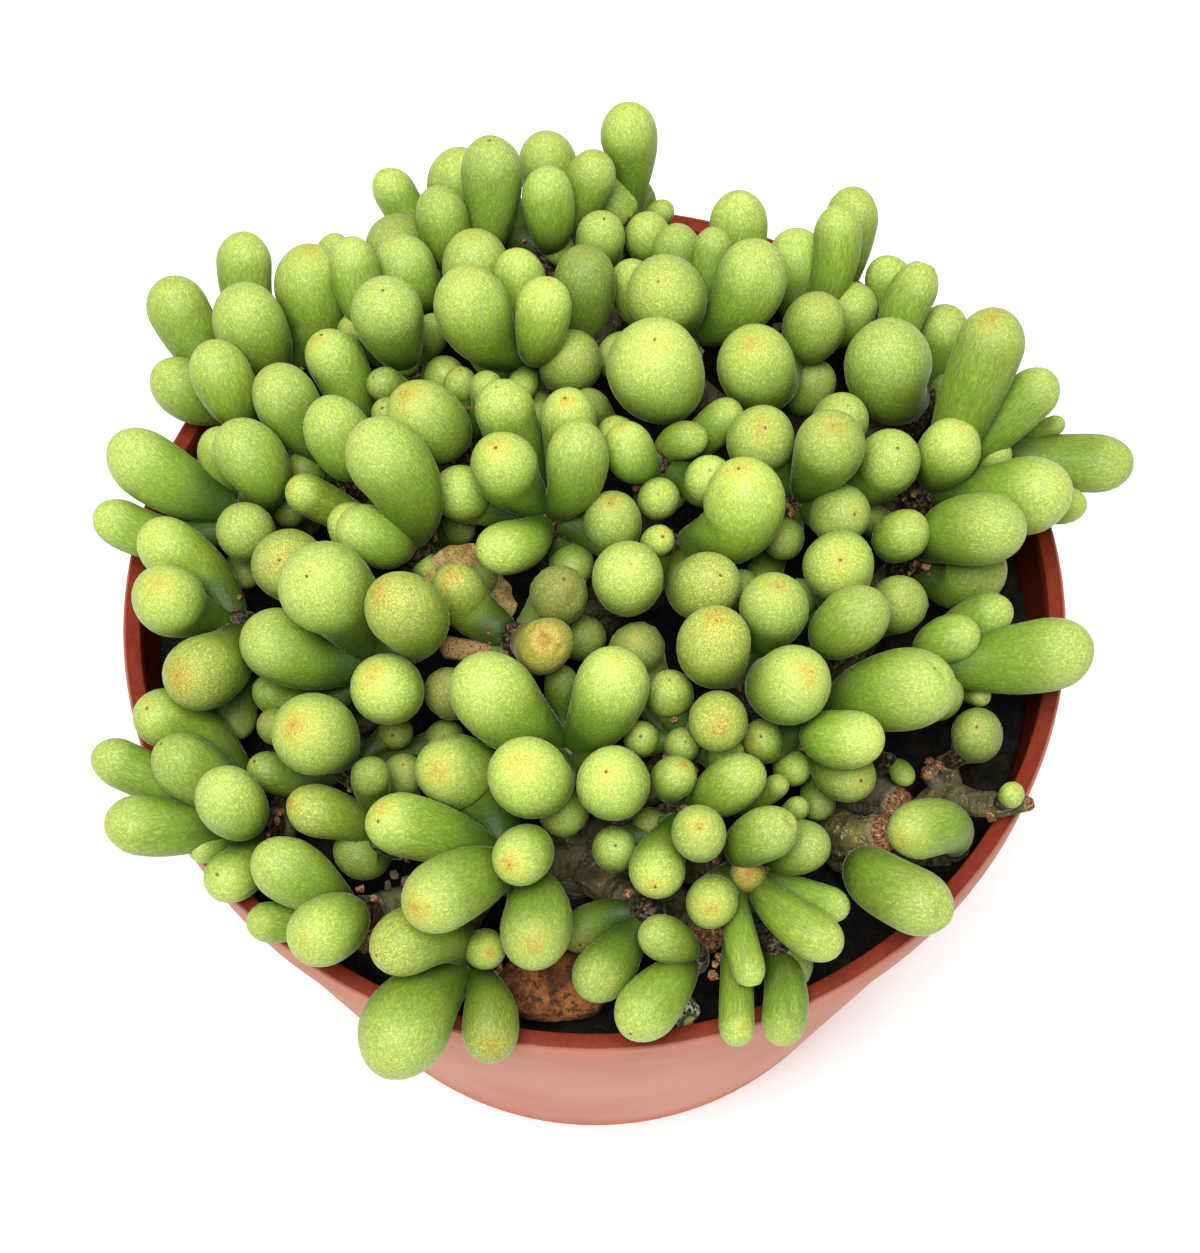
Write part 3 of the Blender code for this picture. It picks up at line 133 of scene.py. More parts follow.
# %% The heads and their leaves
# For each head: (across, up), perhaps with a height, then its leaves as
# (across, up, width, tip across, tip up, depth), and perhaps its stem's own route.
HEADS = [
    # along the back
    ((4.5, 49.0), [
        (3.5, 60.5, 7.0, -0.5, 3.0, 0), (3.5, 52.5, 7.5, -4.0, 0.0, 1),
        (6.5, 51.5, 3.5, 1.0, 1.0, 1), (0.5, 49.5, 6.0, 0.5, 2.5, 0),
        (5.0, 49.0, 5.75, 0.0, 2.0, 0)]),
    ((-18.0, 43.0), [
        (-25.0, 53.5, 5.5, -1.5, 2.5, 1), (-24.5, 48.0, 8.5, -2.0, 2.0, 1),
        (-24.5, 45.0, 7.75, -1.5, 4.0, 0), (-18.5, 54.5, 8.0, 0.0, 4.5, 0.5),
        (-19.5, 51.5, 6.75, -1.0, 4.0, 0), (-13.5, 56.0, 7.5, -0.5, 4.0, 0.5),
        (-16.0, 45.0, 8.5, -1.0, 4.0, 0)]),
    ((-6.5, 46.5), [
        (-11.5, 51.0, 5.25, -1.0, 3.75, 0), (-6.5, 52.5, 6.5, -0.5, 5.0, 0),
        (-5.5, 57.0, 7.5, -1.0, 4.5, 1), (-2.0, 55.5, 6.25, 1.0, 3.0, 1),
        (-4.5, 48.0, 4.0, -1.0, 2.0, 0)]),
    ((-8.5, 33.0), [
        (-15.5, 39.0, 9.5, -1.0, 4.0, 0), (-9.0, 43.5, 6.25, -1.0, 3.75, 0.5),
        (-7.0, 38.5, 7.0, 0.5, 3.5, 0), (-13.5, 35.0, 6.0, -2.5, 2.0, 0),
        (-4.0, 32.0, 8.25, 1.0, 1.0, 1), (-10.0, 30.5, 3.75, -0.5, -0.5, 0),
        (-7.5, 28.0, 4.75, 0.0, -1.5, 0.5), (-2.0, 42.5, 8.0, 0.0, 4.0, 1)]),
    # back left
    ((-44.5, 26.5), [
        (-51.5, 39.5, 7.75, -2.0, 4.0, 0), (-46.5, 32.0, 7.75, -2.0, 4.0, 0),
        (-51.5, 30.0, 7.25, -4.0, 3.0, 0)]),
    ((-39.5, 31.5), [
        (-43.5, 45.0, 6.75, 0.0, 4.0, 0.5), (-37.0, 42.0, 9.25, -1.0, 6.0, 0),
        (-44.0, 36.5, 9.5, -1.5, 4.5, 0), (-34.0, 45.5, 5.0, 0.0, 3.0, 1)]),
    ((-31.5, 20.0), [
        (-39.0, 28.5, 8.25, -2.0, 3.5, 0), (-32.5, 33.0, 7.25, -2.0, 3.0, 0.5),
        (-33.0, 23.5, 8.25, -2.5, 4.5, 0)]),
    ((-24.0, 32.0), [
        (-30.5, 44.5, 6.25, -1.0, 5.0, 0.5), (-30.5, 37.5, 4.5, -1.0, 1.0, 1),
        (-26.5, 38.0, 8.75, -1.0, 3.0, 0), (-25.0, 34.5, 4.75, -1.5, 2.0, 0),
        (-21.0, 36.5, 4.5, 0.5, 2.0, 0.5), (-19.5, 31.5, 5.25, 1.0, 0.5, 0.5)]),
    # middle
    ((-17.5, 23.5), [
        (-21.5, 25.0, 9.5, -3.0, 3.0, 0), (-16.5, 30.5, 4.5, 0.0, 2.0, 0.5),
        (-15.0, 29.5, 4.75, -0.5, 2.5, 0.5), (-27.0, 29.5, 4.5, -1.5, 1.0, 1),
        (-26.5, 27.5, 4.5, -1.0, 1.0, 0.5)]),
    ((-23.5, 10.0), [
        (-25.5, 20.0, 10.0, -3.5, 4.0, 0), (-35.5, 16.5, 5.25, -2.0, 1.0, 1),
        (-31.5, 13.0, 6.25, -2.0, 2.0, 1), (-28.5, 12.5, 7.25, -3.5, 2.0, 0),
        (-21.5, 12.5, 3.75, 0.0, 1.0, 1), (-21.0, 8.0, 3.75, 0.5, 0.0, 1)]),
    ((-6.5, 13.5), [
        (-18.0, 16.0, 7.25, -2.0, 1.0, 0.5), (-12.0, 26.5, 7.5, -1.0, 3.0, 1),
        (-4.5, 26.0, 7.0, -0.5, 3.0, 1), (-11.0, 20.0, 8.5, -1.0, 2.5, 0),
        (-2.5, 20.0, 8.0, 0.0, 4.5, 0), (-11.5, 10.0, 7.0, -3.5, -0.5, 0),
        (1.0, 13.5, 7.5, -0.5, 2.5, 0), (-3.5, 8.0, 5.5, 0.5, -1.0, 1)]),
    # left edge
    ((-44.0, 14.0), [
        (-57.0, 20.0, 8.5, -4.5, 3.5, 0), (-59.5, 13.0, 6.25, -3.5, 2.0, 0.5),
        (-44.5, 12.0, 7.5, -1.0, 1.0, 0), (-47.0, 22.5, 6.25, -1.0, 3.0, 1),
        (-43.0, 21.0, 8.5, -3.5, 3.5, 0)]),
    ((-44.5, 0.0), [
        (-53.0, 9.0, 8.0, -3.5, 2.5, 0), (-53.5, 3.5, 9.0, -1.5, 2.0, 0),
        (-46.0, 0.0, 5.0, -0.5, 0.0, 1), (-50.0, -6.5, 9.5, -3.0, -0.5, 0),
        (-45.0, -12.0, 5.25, 0.0, -3.5, 1)]),
    ((-28.0, -4.5), [
        (-38.5, 7.5, 9.25, -1.0, 0.5, 0.5), (-33.0, 4.5, 11.5, -2.5, 1.5, 0),
        (-40.0, -3.0, 9.5, -4.5, 2.5, 0), (-25.5, 2.5, 9.5, -3.0, 2.0, 0),
        (-41.0, -8.0, 5.0, -3.5, 2.5, 1), (-27.5, -8.5, 9.0, -2.0, 1.5, 0)]),
    ((-10.5, -1.5), [
        (-18.0, 3.0, 7.5, -1.5, 3.0, 0), (-6.5, -2.0, 7.25, 0.5, 1.0, 0),
        (-4.5, 3.5, 7.25, 0.5, 2.0, 0), (-19.5, -8.0, 6.5, -0.5, 1.0, 0.5)]),
    ((-4.0, -16.0), [
        (-13.0, -9.0, 10.75, -3.0, 4.0, 0), (1.5, -8.0, 9.75, 1.0, 4.0, 0),
        (-5.0, -7.0, 4.5, 0.0, 2.0, 1), (-9.0, -20.0, 10.0, -1.5, 2.0, 0),
        (2.0, -19.5, 9.25, -1.0, 1.5, 0), (-4.5, -22.5, 7.0, 0.0, -1.5, 1)]),
    ((7.0, 20.0), [
        (3.5, 22.0, 6.25, -1.0, 3.0, 0), (1.5, 24.5, 5.0, -1.0, 2.0, 1),
        (0.0, 27.0, 5.0, -1.0, 2.0, 1), (11.0, 24.0, 4.75, 3.0, 0.5, 0.5),
        (15.0, 26.5, 5.25, 2.0, 2.0, 1), (13.5, 18.5, 6.25, 0.5, 1.5, 0),
        (7.0, 16.0, 5.25, 0.0, 0.5, 0), (9.0, 16.5, 3.75, 1.0, 1.0, 1)]),
    ((9.0, 9.5), [
        (18.0, 15.0, 10.0, 0.0, 5.0, 0), (7.0, 10.5, 4.0, 1.0, 0.5, 0),
        (13.0, 5.0, 8.5, 2.0, 1.5, 0), (3.5, 5.5, 9.25, 0.5, 2.0, 0)]),
    # back right
    ((11.0, 36.0), [
        (7.0, 32.5, 12.5, 0.0, 4.0, 0), (3.0, 32.5, 7.5, -3.0, 1.0, 1),
        (4.0, 42.5, 6.25, -1.0, 4.0, 0), (9.0, 40.5, 9.75, -1.0, 2.0, 0),
        (18.0, 42.5, 9.0, 1.0, 4.5, 0), (10.5, 46.5, 6.25, 0.0, 4.0, 1),
        (15.0, 46.5, 5.0, 0.5, 3.0, 1), (17.5, 49.0, 7.5, 0.0, 4.0, 1)]),
    ((25.0, 36.0), [
        (19.0, 33.5, 10.0, -0.5, 3.0, 0), (26.0, 30.0, 6.5, 2.0, 2.5, 0),
        (26.0, 37.0, 7.75, 1.0, 3.0, 0), (25.0, 46.0, 7.75, -0.5, 5.5, 0),
        (29.0, 48.5, 6.0, 0.0, 4.0, 0.5), (31.5, 50.0, 6.5, 0.5, 3.5, 1),
        (32.0, 39.0, 7.25, 2.0, 2.5, 0.5)]),
    ((24.5, 15.5), [
        (20.5, 23.5, 8.5, 0.5, 2.0, 0), (28.0, 21.5, 8.75, 0.5, 2.5, 0),
        (23.0, 11.0, 5.5, 0.0, 0.0, 0), (29.5, 13.5, 7.5, 2.0, 0.0, 0),
        (30.5, 25.0, 7.0, 1.0, 2.0, 1), (36.0, 20.0, 8.0, 1.5, 2.0, 0.5)]),
    ((40.0, 28.0), [
        (36.0, 32.5, 10.75, 0.5, 5.0, 0), (36.0, 42.5, 6.0, -1.0, 3.5, 1),
        (38.0, 42.0, 6.25, 2.0, 3.5, 1), (42.0, 37.0, 6.5, 0.5, 3.0, 0.5),
        (43.0, 30.0, 5.0, 1.0, 1.0, 1)]),
    ((41.0, 17.0), [
        (43.5, 22.0, 7.75, 1.5, 2.5, 0), (49.5, 34.0, 9.5, 2.0, 5.5, 0),
        (53.0, 29.5, 7.0, 3.0, 3.0, 1), (49.5, 22.0, 5.0, 2.0, 1.0, 1),
        (53.0, 17.5, 9.75, 4.5, 1.0, 0), (57.0, 16.0, 5.0, 3.0, 0.0, 1)]),
    # right edge
    ((47.0, 23.5), [
        (57.0, 24.5, 2.5, 1.5, 0.5, 1), (61.5, 20.5, 7.5, 4.5, 0.0, 0.5)]),
    ((39.5, 9.0), [
        (38.0, 11.5, 6.5, 2.5, 1.5, 0), (48.5, 12.5, 9.5, 4.0, 0.0, 0),
        (45.0, 6.0, 8.75, 4.0, 1.5, 1)]),
    ((30.0, -1.5), [
        (30.0, 8.5, 9.0, 0.0, 1.0, 0), (31.0, 1.5, 8.0, 4.0, 3.0, 0),
        (37.5, 2.5, 7.25, 1.5, 1.0, 0.5), (25.0, 3.5, 5.0, -0.5, 1.0, 1)]),
    ((40.0, -5.5), [
        (44.0, -1.5, 6.0, 4.0, 1.0, 0.5), (48.5, 1.0, 5.75, 3.0, 1.0, 1),
        (55.5, -2.5, 9.25, 5.0, 1.0, 0), (42.0, -8.0, 7.5, 3.0, 0.0, 1),
        (46.5, -8.5, 3.0, 1.0, -0.5, 1)]),
    ((20.0, -5.0), [
        (21.5, 1.5, 8.5, 0.5, 2.5, 0), (15.0, -3.0, 9.25, 0.5, 3.0, 0),
        (17.0, 5.0, 5.5, 0.0, 1.0, 1), (23.5, -7.0, 9.75, 2.5, 1.5, 0)]),
    ((11.0, -14.5), [
        (8.5, -7.5, 6.0, 0.0, 2.0, 0.5), (4.5, -2.5, 7.5, 0.0, 2.0, 1),
        (6.0, -14.0, 4.5, 0.0, 0.5, 0), (10.0, -15.0, 4.5, 0.5, 0.5, 0.5),
        (15.0, -11.0, 7.5, 0.0, -0.5, 0), (15.0, -17.0, 4.75, 1.5, 0.5, 0)]),
    ((27.0, -12.5), [
        (21.0, -15.0, 5.5, 0.0, 1.0, 0), (24.0, -17.0, 4.5, 1.5, -0.5, 1),
        (30.0, -18.5, 7.0, 2.5, -1.0, 0.5), (31.5, -13.5, 7.5, 4.0, 0.0, 0),
        (37.5, -8.0, 10.75, 5.5, 0.5, 0)]),
    # along the front
    ((11.0, -23.0), [
        (17.5, -20.5, 7.0, 3.0, 2.0, 0), (9.0, -19.0, 5.5, 1.5, 1.5, 0),
        (3.0, -28.0, 5.75, 0.5, 0.5, 0), (12.0, -27.0, 7.0, 0.0, 1.0, 0),
        (22.0, -20.0, 3.0, 1.0, 1.0, 1), (7.5, -31.5, 7.0, 0.0, -2.0, 0),
        (6.0, -25.5, 4.5, 0.0, 0.0, 1)]),
    ((17.5, -29.5), [
        (18.0, -30.0, 4.5, -0.5, 0.5, 0), (20.0, -25.0, 7.0, 3.0, 1.5, 0),
        (24.5, -28.5, 7.25, 3.5, 0.5, 0.5), (28.0, -35.0, 4.75, 4.5, -1.5, 0.5),
        (26.0, -39.5, 6.5, 4.0, -2.5, 0), (14.0, -33.5, 6.75, 0.0, -0.5, 0),
        (24.5, -23.0, 3.0, 1.0, 1.0, 1), (18.0, -43.5, 5.25, 1.5, -5.0, 0.5),
        (17.0, -48.5, 5.75, 0.0, -3.0, 1)]),
    ((6.0, -35.5), [
        (0.5, -42.5, 7.0, -2.5, -2.5, 0), (-1.0, -38.5, 5.75, -3.0, -2.0, 1)]),
    ((11.5, -41.5), [
        (8.0, -38.5, 5.75, -3.0, 1.0, 0), (5.5, -46.5, 7.75, -3.0, -3.5, 0)]),
    ((22.0, -39.5), [
        (23.0, -48.0, 5.75, -0.5, -4.0, 1), (22.5, -41.5, 6.75, 1.0, -3.5, 1)]),
    ((-15.5, -41.5), [
        (-23.5, -40.5, 8.5, -4.0, -2.0, 0), (-24.5, -49.0, 11.25, -2.5, -5.0, 0.5),
        (-14.0, -50.0, 7.5, 0.0, -4.5, 0), (-14.0, -40.0, 5.0, 0.5, -0.5, 0)],
     [(-13.0, -31.5, 83.8, 2.3), (-17.4, -38.0, 85.5, 2.1)]),
    ((-11.0, -30.0), [
        (-19.0, -19.0, 9.5, -3.5, 1.0, 0.5), (-24.5, -24.0, 8.25, -4.5, 1.0, 0.5),
        (-11.0, -28.5, 7.5, -1.5, -1.0, 0), (-19.0, -34.5, 9.5, -3.5, -2.0, 0),
        (-8.5, -36.5, 9.25, -1.0, -4.5, 0)]),
    # front left
    ((-27.0, -26.5), [
        (-34.5, -22.0, 6.75, -3.5, 1.0, 0.5), (-30.5, -28.0, 6.75, -3.5, 1.0, 1),
        (-25.5, -18.0, 5.5, 0.0, 1.5, 1), (-29.5, -18.0, 5.0, 0.0, 1.0, 1)]),
    ((-30.5, -36.0), [
        (-38.0, -30.0, 8.25, -4.0, 2.5, 0), (-34.5, -38.0, 9.0, -2.5, -1.5, 0),
        (-41.0, -37.0, 5.25, -3.0, 0.0, 1)]),
    ((-43.5, -24.5), [
        (-46.5, -21.5, 8.25, -2.0, 2.5, 0), (-56.5, -24.0, 7.5, -5.0, 0.5, 0.5),
        (-49.5, -27.5, 4.25, -2.0, -1.0, 0.5), (-46.0, -31.0, 7.0, -2.0, -1.0, 0),
        (-52.5, -18.0, 8.0, -4.0, 2.5, 0.5), (-59.0, -16.5, 6.25, -3.5, 1.5, 1),
        (-53.0, -12.0, 7.5, -3.5, 1.0, 1)]),
    ((-31.5, -17.5), [
        (-41.0, -17.0, 5.25, -2.5, 1.0, 1), (-34.5, -13.5, 10.5, -2.5, 1.0, 0),
        (-25.5, -13.5, 4.25, 0.0, -0.5, 1), (-19.5, -13.0, 5.0, 0.0, 0.5, 1)]),
    # single leaves on the bare stems at the right
    ((44.5, -16.5, 90.5), [(46.5, -14.0, 6.5, 0.0, 1.0, 0.5)],
     [(38.0, -23.5, 84.2, 2.4), (43.0, -21.5, 86.5, 2.2)]),
    ((51.0, -21.8, 95.5), [(51.5, -21.0, 3.25, 0.5, 0.5, 0)],
     [(38.0, -23.5, 84.2, 2.4), (43.0, -21.5, 86.8, 2.2), (47.2, -22.2, 91.6, 1.6)]),
    ((35.5, -17.0, 91.0), [(37.5, -19.0, 3.0, 1.5, -2.0, 0.5)],
     [(33.0, -19.0, 85.0, 2.2)]),
    ((32.5, -29.5, 90.5), [(39.5, -33.0, 9.0, 4.0, -2.0, 0)],
     [(30.0, -27.0, 84.5, 2.6)]),
    ((44.5, -28.0, 87.0), [(40.0, -26.5, 7.5, -4.0, -1.0, 0)],
     [(36.0, -26.0, 84.0, 2.2), (41.5, -28.0, 84.0, 2.0)]),
]
DRIED_LEAVES = {
    "dried_leaf_upper": ((-14.9, 3.3, 103.5), (-20.0, 7.5, 2.4, -1.4, -0.6, 0.5)),
    "dried_leaf_lower": ((-14.6, -1.6, 105.0), (-18.0, -3.2, 2.0, -1.2, 0.0, 0.5)),
}
STEM_FEET = {
    "stem_middle": (0.0, 3.0),
    "stem_back": (-5.0, 34.0),
    "stem_back_left": (-31.0, 24.0),
    "stem_back_right": (27.0, 27.0),
    "stem_front_left": (-33.0, -16.0),
    "stem_front": (-2.5, -33.0),
    "stem_front_right": (27.0, -18.0),
}
BARE_WOOD = [
    # the stump, the grey stem behind it, and the fork's knobs and tip
    ("stem_front_right", [(28.5, -25.0, 85.0), (31.5, -26.6, 90.0), (35.2, -26.0, 92.5)],
     [3.0, 2.9, 2.5]),
    ("stem_front_right", [(30.0, -20.5, 84.5), (34.0, -21.2, 87.0), (37.0, -22.3, 88.5)],
     [2.9, 2.9, 2.3]),
    ("stem_front_right", [(43.2, -21.0, 87.0), (41.2, -18.2, 89.0)], [1.5, 1.2]),
    ("stem_front_right", [(49.0, -22.6, 92.8), (53.6, -22.2, 94.6)], [1.3, 0.9]),
    # scarred ends among the front leaves
    ("stem_front", [(14.0, -30.5, 86.0), (18.5, -33.0, 91.0), (22.8, -35.2, 93.0)],
     [2.0, 2.3, 1.7]),
    ("stem_front", [(11.0, -37.0, 85.0), (13.6, -38.5, 90.0)], [2.0, 2.3]),
    ("stem_front", [(9.5, -40.5, 84.5), (9.0, -45.5, 83.6), (10.6, -48.4, 85.0)],
     [1.8, 1.8, 1.9]),
    ("stem_front", [(-27.5, -35.5, 86.0), (-28.8, -38.8, 89.0)], [2.0, 2.2]),
]
GREY_WOOD = (1, 2)             # which of those are grey
STONE_CENTRE = (-5.2, -50.0, SOIL_TOP + SOIL_RELIEF + 4.1)
STONE_SIZE = (7.0, 5.0, 3.7)
print("heads", len(HEADS), "leaves", sum(len(entry[1]) for entry in HEADS))

# %% [markdown]
# ## From the plan to space
# A leaf's root sits on its head's short core.  The leaf bends out of the core and swells to its
# widest place, which lies on the line of sight through its place in the plan.  How far along that
# line it lies follows from its length.

# %% Heads and leaves in space
def unit(vector):
    return vector / math.sqrt(float((vector * vector).sum()))


def view_ray(across, up):
    """Direction from the view point through a place in the layout."""
    return unit(FORWARD * LAYOUT_DISTANCE + RIGHT * across + UP * up)


def at_height(across, up, z):
    """The point at height z that shows at a place in the layout."""
    ray = view_ray(across, up)
    return VIEW_POINT + ray * (z - VIEW_POINT[2]) / ray[2]


def on_crown(across, up):
    """The point of the mound that shows at a place in the layout."""
    z = POT_HEIGHT
    for _ in range(40):
        x, y, _z = at_height(across, up, z)
        fall = CROWN_FALL * (x * x + y * y) / CROWN_RADIUS ** 2
        z = 0.5 * (z + POT_HEIGHT + CROWN_RISE - fall)
    return at_height(across, up, z)


def inside_wall(place, point):
    """Slide a head along its line of sight until it stands clear of the pot's wall."""
    for _ in range(40):
        x, y, z = point
        if math.hypot(x, y) <= HEAD_LIMIT or z < LOWEST_HEAD:
            break
        point = at_height(*place, z + math.copysign(0.25, y))
    return point


def make_head(place, leaf_count, route=()):
    """Where a head sits, which way it leans, its core's size and its stem's route."""
    if len(place) == 3:
        point = at_height(*place)
    else:
        point = inside_wall(place, on_crown(*place))
    lean = HEAD_LEAN / CROWN_RADIUS
    axis = unit(np.array((point[0] * lean, point[1] * lean, 1.0)))
    single = leaf_count == 1
    return {"point": point, "axis": axis, "route": route,
            "radius": SMALL_CORE_RADIUS if single else CORE_RADIUS,
            "down": SMALL_CORE_DOWN if single else CORE_DOWN}


def neck_share(v):
    """Radius between the root (v = 0) and the widest place (v = 1), as a share of the widest."""
    return NECK + (1.0 - NECK) * np.sin(v * math.pi / 2) ** 0.9


def leaf_axis(ray, width, tip):
    """Direction of a leaf's outer end, from where its tip shows."""
    across, up = tip[0] / (CAP * width), tip[1] / (CAP * width)
    size = math.hypot(across, up)
    if size > 0.95:
        across, up = across * 0.95 / size, up * 0.95 / size
    toward = math.sqrt(1.0 - across * across - up * up)
    return unit(RIGHT * across + UP * up - ray * toward)


def start_leaf(head, head_index, row):
    """A leaf before settling: its root, and its widest place on the ray where it shows."""
    across, up, width, tip_across, tip_up, depth = row
    ray = view_ray(across, up)
    core = head["point"] + head["axis"] * (0.5 - 2.5 * min(depth, 1.0))
    foot = VIEW_POINT + ray * float((core - VIEW_POINT) @ ray)
    toward = foot - core
    aside = math.sqrt(float(toward @ toward))
    root = core + toward / max(aside, 1e-6) * min(LEAF_ROOT_SINK, aside)
    reach = REACH * width
    rise = math.sqrt(max(reach * reach - aside * aside, 0.0))
    along = float((foot - VIEW_POINT) @ ray) - rise * (1.0 - depth)
    return {"head": head_index, "ray": ray, "root": root, "along": along, "width": width,
            "axis": leaf_axis(ray, width, (tip_across, tip_up)), "order": depth}


def leaf_middle(leaves):
    """Widest place and true width of each leaf."""
    side = leaves["side"]
    middle = (VIEW_POINT + leaves["ray"] * leaves["along"][:, None]
              + RIGHT * side[:, :1] + UP * side[:, 1:])
    depth = (leaves["ray"] * FORWARD).sum(axis=1) * leaves["along"]
    width = leaves["width"] * leaves["scale"] * depth / LAYOUT_DISTANCE
    return middle, width


def spine_point(root, middle, axis, v):
    """A point of the curved line from a leaf's root to its widest place."""
    span = np.sqrt(((middle - root) ** 2).sum(axis=-1))[..., None]
    bend = middle - axis * span * 0.5
    return root * (1 - v) ** 2 + bend * (2 * v * (1 - v)) + middle * v * v

# %% [markdown]
# ## Letting the leaves settle
# Leaves that are drawn one by one would run through each other.  Real ones press each other aside
# as they swell, so here each leaf becomes a chain of balls, and a few hundred small steps push
# crossing chains apart, along the line of sight first so that the picture hardly changes.

# %% Balls that fill each leaf, and the walls they must not cross
SETTLE_ROUNDS = 360
SHRINK_FROM = 200
CLEAR = 0.62                   # between the round forms, so that faceted ones keep their gap
SIDE_LIMIT = 1.1               # how far a leaf may shift across the layout
SIDE_SHARE = 0.35
MIN_SCALE = 0.72
CHAIN = (0.2, 0.36, 0.52, 0.68, 0.84, 1.0)   # places of the balls between root and widest place
CAP_BALLS = ((0.2, 0.42), (0.36, 0.26))      # (place, radius) of the balls in the tip, in widths
FREE_FROM = 0.75               # leaves of one head may touch nearer the root than this
PAIR_REACH = 2.5               # only balls nearer than this are looked at
PAIRS_KEPT = 20                # rounds before the near pairs are looked for again
MOVE_SHARE = 0.45              # share of the push that is taken in one round
LONGEST_MOVE = 0.8
ALONG_LIMIT = 7.0              # how far a leaf may shift along its ray
SHRINK = 0.996
TIGHT = 0.12                   # a leaf shrinks when it crosses by more than this share of CLEAR


def leaf_balls(leaves):
    """Balls that fill each leaf: centres, radii."""
    middle, width = leaf_middle(leaves)
    centres = []
    radii = []
    for v in CHAIN:
        centres.append(spine_point(leaves["root"], middle, leaves["axis"], v))
        radii.append(0.5 * width * neck_share(v))
    for place, radius in CAP_BALLS:
        centres.append(middle + leaves["axis"] * (place * width)[:, None])
        radii.append(radius * width)
    return np.stack(centres, axis=1), np.stack(radii, axis=1)


BALL_WEIGHT = np.array(CHAIN + (1.0,) * len(CAP_BALLS))


def wall_profile():
    """The pot's side and lip as a line of (radius, height) with a half thickness."""
    half = 0.5 * LIP_WALL
    return [(RIM_RADIUS - half, POT_HEIGHT - half), (outer_radius(60.0) - half, 60.0)], half


def outer_radius(z):
    """The pot's outside below the collar."""
    top = POT_HEIGHT - COLLAR_HEIGHT
    return FOOT_RADIUS + (RIM_RADIUS - COLLAR_STEP - FOOT_RADIUS) * z / top


def push_from_pot(centres, radii):
    """Movement that takes balls out of the pot's wall and the soil."""
    push = np.zeros_like(centres)
    (a, b), half = wall_profile()
    rho = np.sqrt(centres[..., 0] ** 2 + centres[..., 1] ** 2)
    z = centres[..., 2]
    run = (b[0] - a[0], b[1] - a[1])
    t = ((rho - a[0]) * run[0] + (z - a[1]) * run[1]) / (run[0] ** 2 + run[1] ** 2)
    t = np.clip(t, 0.0, 1.0)
    out = rho - (a[0] + run[0] * t)
    rise = z - (a[1] + run[1] * t)
    away = np.sqrt(out * out + rise * rise) + 1e-9
    deep = np.maximum(radii + half + CLEAR - away, 0.0)
    push[..., 0] += deep * out / away * centres[..., 0] / rho
    push[..., 1] += deep * out / away * centres[..., 1] / rho
    push[..., 2] += deep * rise / away
    soil = np.maximum(SOIL_TOP + SOIL_RELIEF + radii + CLEAR - z, 0.0)
    push[..., 2] += np.where(rho < RIM_RADIUS - LIP_WALL, soil, 0.0)
    return push


def near_pairs(centres, radii, leaf, head, weight):
    """Pairs of balls, of different leaves, that could come to touch."""
    close = []
    count = len(centres)
    for i in range(count - 1):
        rest = slice(i + 1, count)
        gap = np.sqrt(((centres[rest] - centres[i]) ** 2).sum(axis=1)) - radii[rest] - radii[i]
        good = (gap < PAIR_REACH) & (leaf[rest] != leaf[i])
        same = head[rest] == head[i]
        good &= ~same | ((weight[rest] >= FREE_FROM) & (weight[i] >= FREE_FROM))
        found = np.nonzero(good)[0] + i + 1
        if len(found):
            close.append(np.stack((np.full(len(found), i), found), axis=1))
    return np.concatenate(close)


def near_blocks(centres, radii, head, blocks):
    """Pairs of a leaf's ball and a fixed ball that could come to touch."""
    spots, sizes, owners = blocks
    close = []
    for k in range(len(spots)):
        gap = np.sqrt(((centres - spots[k]) ** 2).sum(axis=1)) - radii - sizes[k]
        found = np.nonzero((gap < PAIR_REACH) & (head != owners[k]))[0]
        if len(found):
            close.append(np.stack((found, np.full(len(found), k)), axis=1))
    return np.concatenate(close)

# %% [markdown]
# ## The rounds of the settling
# In each round every ball that crosses another leaf, a stem, the pot or the soil pushes its leaf.
# The leaf takes part of the push, mostly along its line of sight.  Leaves that still cross late in
# the settling shrink a little.  A physics engine could do the same, but this gives equal numbers
# on every machine.

